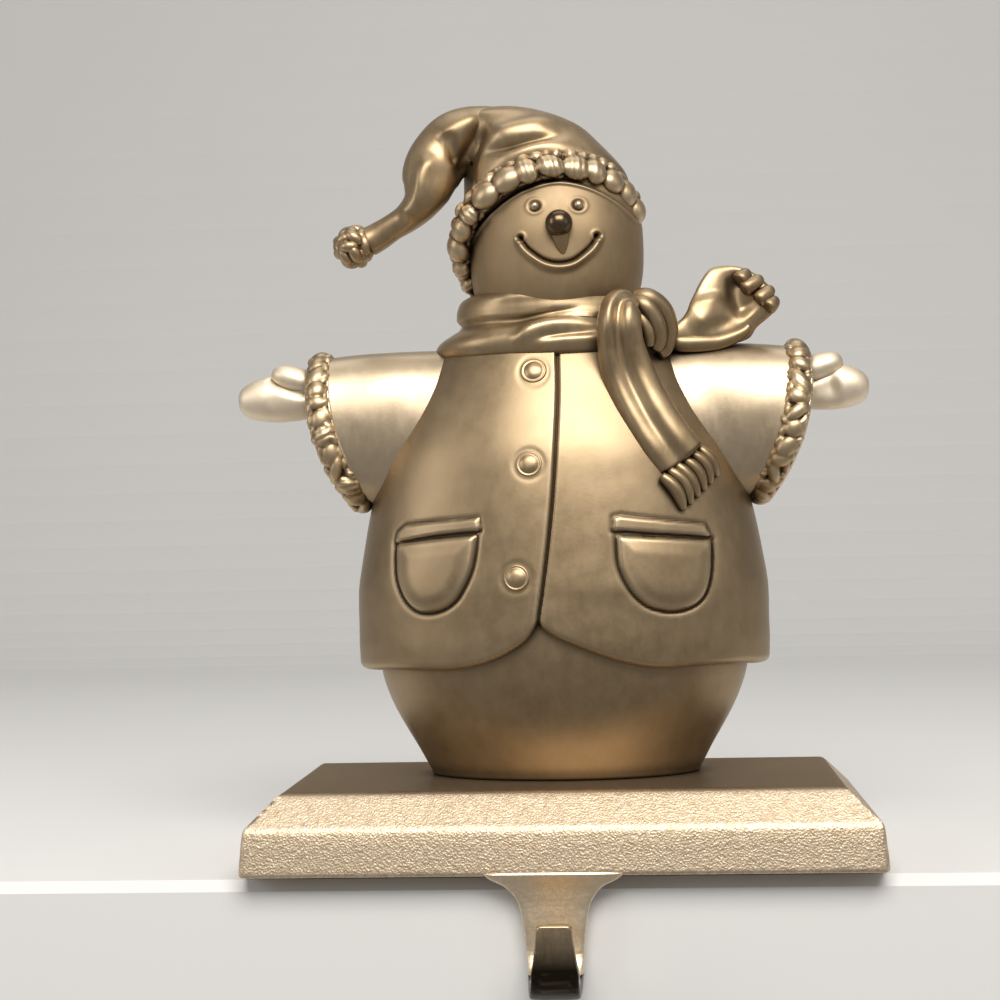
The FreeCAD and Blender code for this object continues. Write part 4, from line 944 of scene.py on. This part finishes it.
def make_flying_tail():
    """The scarf end that blows out to the right and opens like a fan."""
    rings = 136
    lower = spline([
        (19.6, 84.6), (22.6, 83.8), (26.0, 83.4), (30.5, 84.0), (33.9, 84.8), (36.4, 85.1), (38.6, 86.0),
        (40.0, 87.9), (41.9, 89.4), (43.7, 90.8)], rings)
    upper = spline([
        (20.6, 88.6), (23.4, 88.6), (26.0, 90.9), (27.4, 94.3), (29.2, 97.7), (31.2, 99.9), (34.0, 100.4),
        (37.1, 100.0), (40.0, 98.6), (43.0, 96.0)], rings)
    share = np.linspace(0, 1, rings)[:, None]
    cosine, sine = circle(120)
    end = end_round(share, 0.07, 0.02)
    thick = (2.3 - 0.6 * share) * end * np.sign(sine) * np.abs(sine) ** 0.6
    middle = (lower + upper) / 2
    half = (upper - lower) / 2 * (0.9 + 0.1 * end)
    flat = middle[:, None, :] + half[:, None, :] * cosine[:, None]
    points = np.stack([flat[..., 0], -6.0 + 3.4 * smooth(0, 0.8, share) + thick, flat[..., 1]], axis=-1)
    points = carve(points, (0.15, 11, 111), 0.3, [
        ([(26.0, 87.6), (29.3, 89.4), (30.6, 92.4), (30.2, 95.4)], 2.9, 1.1, 0.3),
        ([(37.6, 99.6), (36.2, 96.1), (36.9, 92.7), (38.9, 90.0)], 2.3, -1.7, 0.25),
        ([(27.6, 86.8), (32.0, 88.2), (36.0, 90.0)], 1.2, -0.4, 0.35),
    ])
    figure_piece("scarf_flying_end", points)
    roll = sweep([
        (22.0, -6.4, 86.0, 1.2, 1.2), (24.5, -6.4, 85.0, 1.75, 1.7), (28.5, -5.8, 84.9, 1.8, 1.8),
        (32.0, -5.0, 85.1, 1.65, 1.7), (35.0, -4.4, 86.0, 1.45, 1.5), (37.2, -4.0, 87.1, 1.1, 1.2),
        (38.6, -3.8, 88.4, 0.6, 0.8),
    ], 80, 44)
    figure_piece("scarf_rolled_edge", roll)
    roots = np.array([(38.3, 98.8), (41.0, 97.5), (43.0, 95.4), (43.7, 93.2)])
    tips = np.array([(36.5, 97.0), (37.3, 95.3), (40.0, 93.0), (41.9, 91.5)])
    for number, (root, tip) in enumerate(zip(roots, tips)):
        line = []
        for share, radius in ((0, 1.0), (0.2, 1.4), (0.6, 1.65), (0.88, 1.6), (1, 1.1)):
            x, z = root + (tip - root) * share
            line.append((x, -3.2 - 1.6 * share ** 0.7, z, radius, radius))
        figure_piece("fringe_%d" % number, sweep(line, 34, 34))


def make_knot():
    """Three strands that wrap over the collar and tuck in beside the hanging end."""
    strands = [
        [(15.6, -11.6, 93.6, 1.5, 1.4), (18.4, -12.6, 93.3, 2.0, 1.9), (21.2, -11.2, 91.2, 2.0, 2.0),
         (22.5, -9.6, 87.6, 1.8, 1.9), (21.8, -8.8, 84.0, 1.5, 1.6), (20.2, -9.2, 82.2, 1.0, 1.2)],
        [(15.0, -12.2, 92.6, 1.4, 1.4), (17.6, -13.8, 91.8, 1.9, 1.8), (19.6, -13.2, 89.0, 1.9, 1.9),
         (20.4, -12.0, 85.6, 1.7, 1.8), (19.4, -11.6, 83.0, 1.2, 1.4)],
        [(15.2, -12.4, 90.4, 1.2, 1.2), (16.8, -13.6, 89.4, 1.6, 1.5), (18.2, -13.4, 86.6, 1.6, 1.6),
         (18.3, -12.6, 83.8, 1.3, 1.3)],
    ]
    for number, line in enumerate(strands):
        figure_piece("knot_strand_%d" % number, sweep(line, 70, 44))


# Base, hook, screws and pad

CORNER = 1.6
TOP_HALF = np.array([52.5, 24.6])  # the level top inside the bevel
HOOK_MIDDLE = -1.3
HOOK_FRONT = 1.2 - BASE_HALF[1]
HOOK_BEND = 4.6
HOOK_THICKNESS = 3.5
HOOK_WIDTH = 10.9
HOOK_LOW = -13.4  # where the shank ends and the bend begins


def base_ring():
    """Places of the corners' middles or edges, and outward directions, once round the block."""
    middle = BASE_HALF - CORNER
    corners = np.array([(1, -1), (1, 1), (-1, 1), (-1, -1)])
    corner_steps = 8
    edge_steps = (66, 120, 66, 120)
    ring = []
    for number, steps in enumerate(edge_steps):
        here = corners[number] * middle
        there = corners[(number + 1) % 4] * middle
        for step in range(corner_steps + 1):
            turn = math.radians(90 * (number - 1 + step / corner_steps))
            ring.append((*here, math.cos(turn), math.sin(turn)))
        for step in range(1, steps):
            ring.append((*(here + (there - here) * step / steps), math.cos(turn), math.sin(turn)))
    return np.array(ring)


def make_base():
    """The bevelled block: rough cast on its faces, smooth on top."""
    # inset from the widest outline, and height
    section = np.array([
        (-0.9, 0.0), (-0.3, 0.08), (0.0, 0.5), (-0.25, 3.0), (-0.55, 6.0), (-0.82, 8.0), (-1.0, 8.6),
        (-1.35, 9.15), (-1.9, 9.65), (-3.2, 10.95), (-4.8, 12.55), (-6.1, 13.85), (-6.55, 14.25),
        (-7.1, 14.6), (-7.8, 14.85), (-8.8, 14.9), (-12.0, 14.9), (-20, 14.9), (-30, 14.9)])
    lengths = np.concatenate([[0], np.cumsum(np.linalg.norm(np.diff(section, axis=0), axis=1))])
    spacing = np.unique(np.concatenate([np.arange(0, 21, 0.5), np.linspace(21, lengths[-1], 14)]))
    inset = np.interp(spacing, lengths, section[:, 0])[:, None]
    height = np.interp(spacing, lengths, section[:, 1])[:, None]
    ring = base_ring()
    rounding = CORNER + inset.clip(-CORNER, 0)
    deeper = (inset + CORNER).clip(None, 0)
    level = []
    for place, outward, half in zip(ring.T[:2], ring.T[2:], BASE_HALF):
        level.append(place + outward * rounding + place / (half - CORNER) * deeper)
    points = np.stack([*level, height * np.ones(len(ring))], axis=-1)
    z = points[..., 2]
    relief = 0.04 * wobble(points, 2.1, 121) * smooth(13.9, 13.0, z) + 0.04 * wobble(points, 20, 123)
    relief *= smooth(0.0, 0.6, z) * smooth(14.5, 14.0, z)
    flat, faces = close_grid(points + outward_normals(points) * relief[..., None])
    mean_height = np.array([flat[list(face), 2].mean() for face in faces])
    beyond = np.array([(np.abs(flat[face[0], :2]) - TOP_HALF).max() for face in faces])
    smooth_faces = ((mean_height > 14.4) & (beyond < 1.2)).astype(np.int32)
    base_piece("base_block", flat, faces, [rough_base, smooth_base], smooth_faces)


def make_hook():
    """The J of the hook: a strip with rounded edges under a flared neck."""
    shank = HOOK_FRONT + HOOK_THICKNESS / 2
    bend_radius = HOOK_BEND + HOOK_THICKNESS / 2
    tip = HOOK_FRONT - 2 * HOOK_BEND - HOOK_THICKNESS / 2
    # depth, height and width
    path = [
        (-31.1, 1.2, 26), (-30.6, 0.2, 24.5), (-29.9, -1.4, 19.2), (-29.45, -3.2, 15.6), (shank, -5.6, 13.2),
        (shank, -9.0, 11.8), (shank, HOOK_LOW, HOOK_WIDTH)]
    for share in np.linspace(0, 1, 11)[1:-1]:
        depth = HOOK_FRONT - HOOK_BEND + bend_radius * math.cos(math.pi * share)
        path.append((depth, HOOK_LOW - bend_radius * math.sin(math.pi * share), HOOK_WIDTH - 2.6 * share))
    path += [(tip, HOOK_LOW, 7.8), (tip, -10.5, 7.0), (tip, -8.0, 6.6), (tip + 0.1, -6.8, 6.5)]
    line = spline(path, 180)
    share = np.linspace(0, 1, len(line))
    place = np.stack([HOOK_MIDDLE + 0.4 * smooth(0.5, 0.85, share), line[:, 0], line[:, 1]], axis=1)
    wide = np.array([1.0, 0, 0])
    thick = np.cross(unit(np.gradient(place, axis=0)), wide)
    cosine, sine = circle(96, 0.5)
    flat_wide = np.sign(cosine) * np.abs(cosine) ** 0.22
    flat_thick = np.sign(sine) * np.abs(sine) ** 0.30
    half_wide = line[:, 2] / 2 * (0.5 + 0.5 * end_round(share, 0.045))
    half_thick = HOOK_THICKNESS / 2 * (0.4 + 0.6 * end_round(share, 0.025))
    points = (place[:, None, :] + wide * (half_wide[:, None] * flat_wide)[..., None]
              + thick[:, None, :] * (half_thick[:, None] * flat_thick)[..., None])
    relief = 0.05 * wobble(points, 4, 131) + 0.04 * wobble(points, 1.6, 132)
    flat, faces = close_grid(points + outward_normals(points) * relief[..., None])
    centres = np.array([flat[list(face)].mean(axis=0) for face in faces])
    dark = ((centres[:, 1] < -40.9) | (centres[:, 2] < -16.5 - PAD)).astype(np.int32)
    base_piece("hook", flat, faces, [hook_metal, hook_dark], dark)


def finish_hidden():
    """The screws and the pad keep their solids and get materials."""
    steel = Nodes("zinc_plated_steel")
    streaks = steel.noise(900, 4, (1, 1, 6))
    tone = steel.span(streaks, 0.3, 0.7)
    steel.drive("Base Color", steel.blend(tone, (0.42, 0.42, 0.40), (0.62, 0.61, 0.58)))
    steel.shader.inputs["Metallic"].default_value = 1.0
    steel.drive("Roughness", steel.span(streaks, 0.2, 0.8, 0.28, 0.42))
    felt = Nodes("black_felt")
    fibres = felt.noise(2200, 6)
    clumps = felt.noise(220, 3)
    matted = felt.plus(felt.span(fibres, 0.35, 0.7, 0, 0.6), felt.span(clumps, 0.4, 0.7, 0, 0.4))
    felt.drive("Base Color", felt.blend(matted, (0.012, 0.011, 0.010), (0.055, 0.050, 0.046)))
    felt.shader.inputs["Roughness"].default_value = 0.95
    felt.shader.inputs["Sheen Weight"].default_value = 0.4
    felt.bump(0.6, 0.0003, fibres)
    for node, nodes in (("fixing_screws", steel), ("felt_pad", felt)):
        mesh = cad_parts[node].data
        mesh.materials.clear()
        mesh.materials.append(nodes.material)


# Stage, light and camera, in metres

LEDGE_FRONT = -0.0271
LEDGE_ROUND = 0.002
SWEEP_START = 0.55
SWEEP_RADIUS = 0.45
WALL_TOP = 2.2
STAGE_HALF = 2.2
LIGHT_TARGET = (0, 0, 0.07)
# name, place, width, height, watts, colour
LAMPS = [
    ("key", (0.10, -0.72, 0.74), 0.84, 0.46, 13.0, (1.0, 0.97, 0.92)),
    ("left_fill", (-0.85, -0.45, 0.36), 0.3, 0.5, 1.6, (1.0, 0.97, 0.94)),
    ("right_fill", (0.85, -0.40, 0.30), 0.3, 0.5, 0.4, (1.0, 0.97, 0.93)),
    ("top", (0.0, 0.15, 0.95), 0.8, 0.5, 2.0, (1, 1, 1)),
]
WORLD_COLOUR = (0.31, 0.305, 0.30, 1)
SENSOR_WIDTH = 36.0
FOCAL_SHARE = 2.00561  # focal length over sensor width
CAMERA_PLACE = (0.01688, -0.400006, 0.064572)
CAMERA_YAW = -0.0718
CAMERA_PITCH = 0.0157
CAMERA_ROLL = -0.0218


def make_stage():
    """A mantel ledge whose top sweeps up into the wall behind it."""
    line = [(LEDGE_FRONT, -0.9), (LEDGE_FRONT, -LEDGE_ROUND), (LEDGE_FRONT + LEDGE_ROUND, 0.0)]
    line += [(SWEEP_START * share, 0.0) for share in np.linspace(0, 1, 12)[1:]]
    for turn in np.linspace(0, math.pi / 2, 25)[1:]:
        line.append((SWEEP_START + SWEEP_RADIUS * math.sin(turn), SWEEP_RADIUS * (1 - math.cos(turn))))
    line.append((SWEEP_START + SWEEP_RADIUS, WALL_TOP))
    points = [(x, y, z) for y, z in line for x in (-STAGE_HALF, STAGE_HALF)]
    faces = [(2 * row, 2 * row + 1, 2 * row + 3, 2 * row + 2) for row in range(len(line) - 1)]
    mesh = bpy.data.meshes.new("mantel")
    mesh.from_pydata(points, [], faces)
    nodes = Nodes("painted_mantel")
    nodes.drive("Base Color", nodes.blend(nodes.noise(6, 3), (0.64, 0.635, 0.625), (0.67, 0.665, 0.655)))
    nodes.shader.inputs["Roughness"].default_value = 0.8
    mesh.materials.append(nodes.material)
    add_object("mantel", mesh)


def light_scene():
    for name, place, width, height, watts, colour in LAMPS:
        data = bpy.data.lights.new(name, "AREA")
        data.shape = "RECTANGLE"
        data.size = width
        data.size_y = height
        data.energy = watts
        data.color = colour
        lamp = add_object(name, data)
        lamp.location = place
        lamp.rotation_mode = "QUATERNION"
        lamp.rotation_quaternion = (Vector(LIGHT_TARGET) - Vector(place)).to_track_quat("-Z", "Y")
    world = bpy.data.worlds.new("studio")
    world.use_nodes = True
    background = world.node_tree.nodes["Background"]
    background.inputs["Color"].default_value = WORLD_COLOUR
    background.inputs["Strength"].default_value = 1.0
    bpy.context.scene.world = world


def make_camera():
    """The photograph's camera: 0.4 m away, level with the figure's middle and a little to its right."""
    data = bpy.data.cameras.new("camera")
    data.sensor_width = SENSOR_WIDTH
    data.lens = SENSOR_WIDTH * FOCAL_SHARE
    data.clip_start = 0.01
    data.clip_end = 20.0
    camera = add_object("camera", data)
    level = Vector((math.sin(CAMERA_YAW), math.cos(CAMERA_YAW), 0))
    ahead = level * math.cos(CAMERA_PITCH) + Vector((0, 0, math.sin(CAMERA_PITCH)))
    right = Vector((math.cos(CAMERA_YAW), -math.sin(CAMERA_YAW), 0))
    upward = right.cross(ahead)
    turned_right = right * math.cos(CAMERA_ROLL) + upward * math.sin(CAMERA_ROLL)
    turned_up = upward * math.cos(CAMERA_ROLL) - right * math.sin(CAMERA_ROLL)
    columns = zip(turned_right, turned_up, -ahead, CAMERA_PLACE)
    camera.matrix_world = Matrix((*columns, (0, 0, 0, 1)))
    bpy.context.scene.camera = camera


# Assembly

hook_metal = cast_metal("hook_metal", (0.70, 0.575, 0.41), (0.80, 0.68, 0.51), 0.46, 2400, 0.00002)
hook_dark = hook_end_metal()

make_belly()
make_coat()
for number, (x, z) in enumerate(BUTTONS):
    make_button("button_%d" % number, x, z)
# side, word, mitten's tip, its height, its hollow's depth, the thumb's reach
for side, word, *mitt in ((-1, "left", 65.1, 76.6, 0.4, -1.7), (1, "right", 62.1, 76.3, 1.2, 0.2)):
    make_sleeve(side, word)
    make_cuff(side, word)
    make_mitt(side, word, *mitt)
make_head()
make_face()
make_crown()
make_cap_tail()
make_pompom()
make_brim()
make_collar()
make_knot()
make_hanging_tail()
make_flying_tail()
make_base()
make_hook()
finish_hidden()
make_stage()
light_scene()
make_camera()
bpy.context.scene.view_settings.view_transform = "Standard"
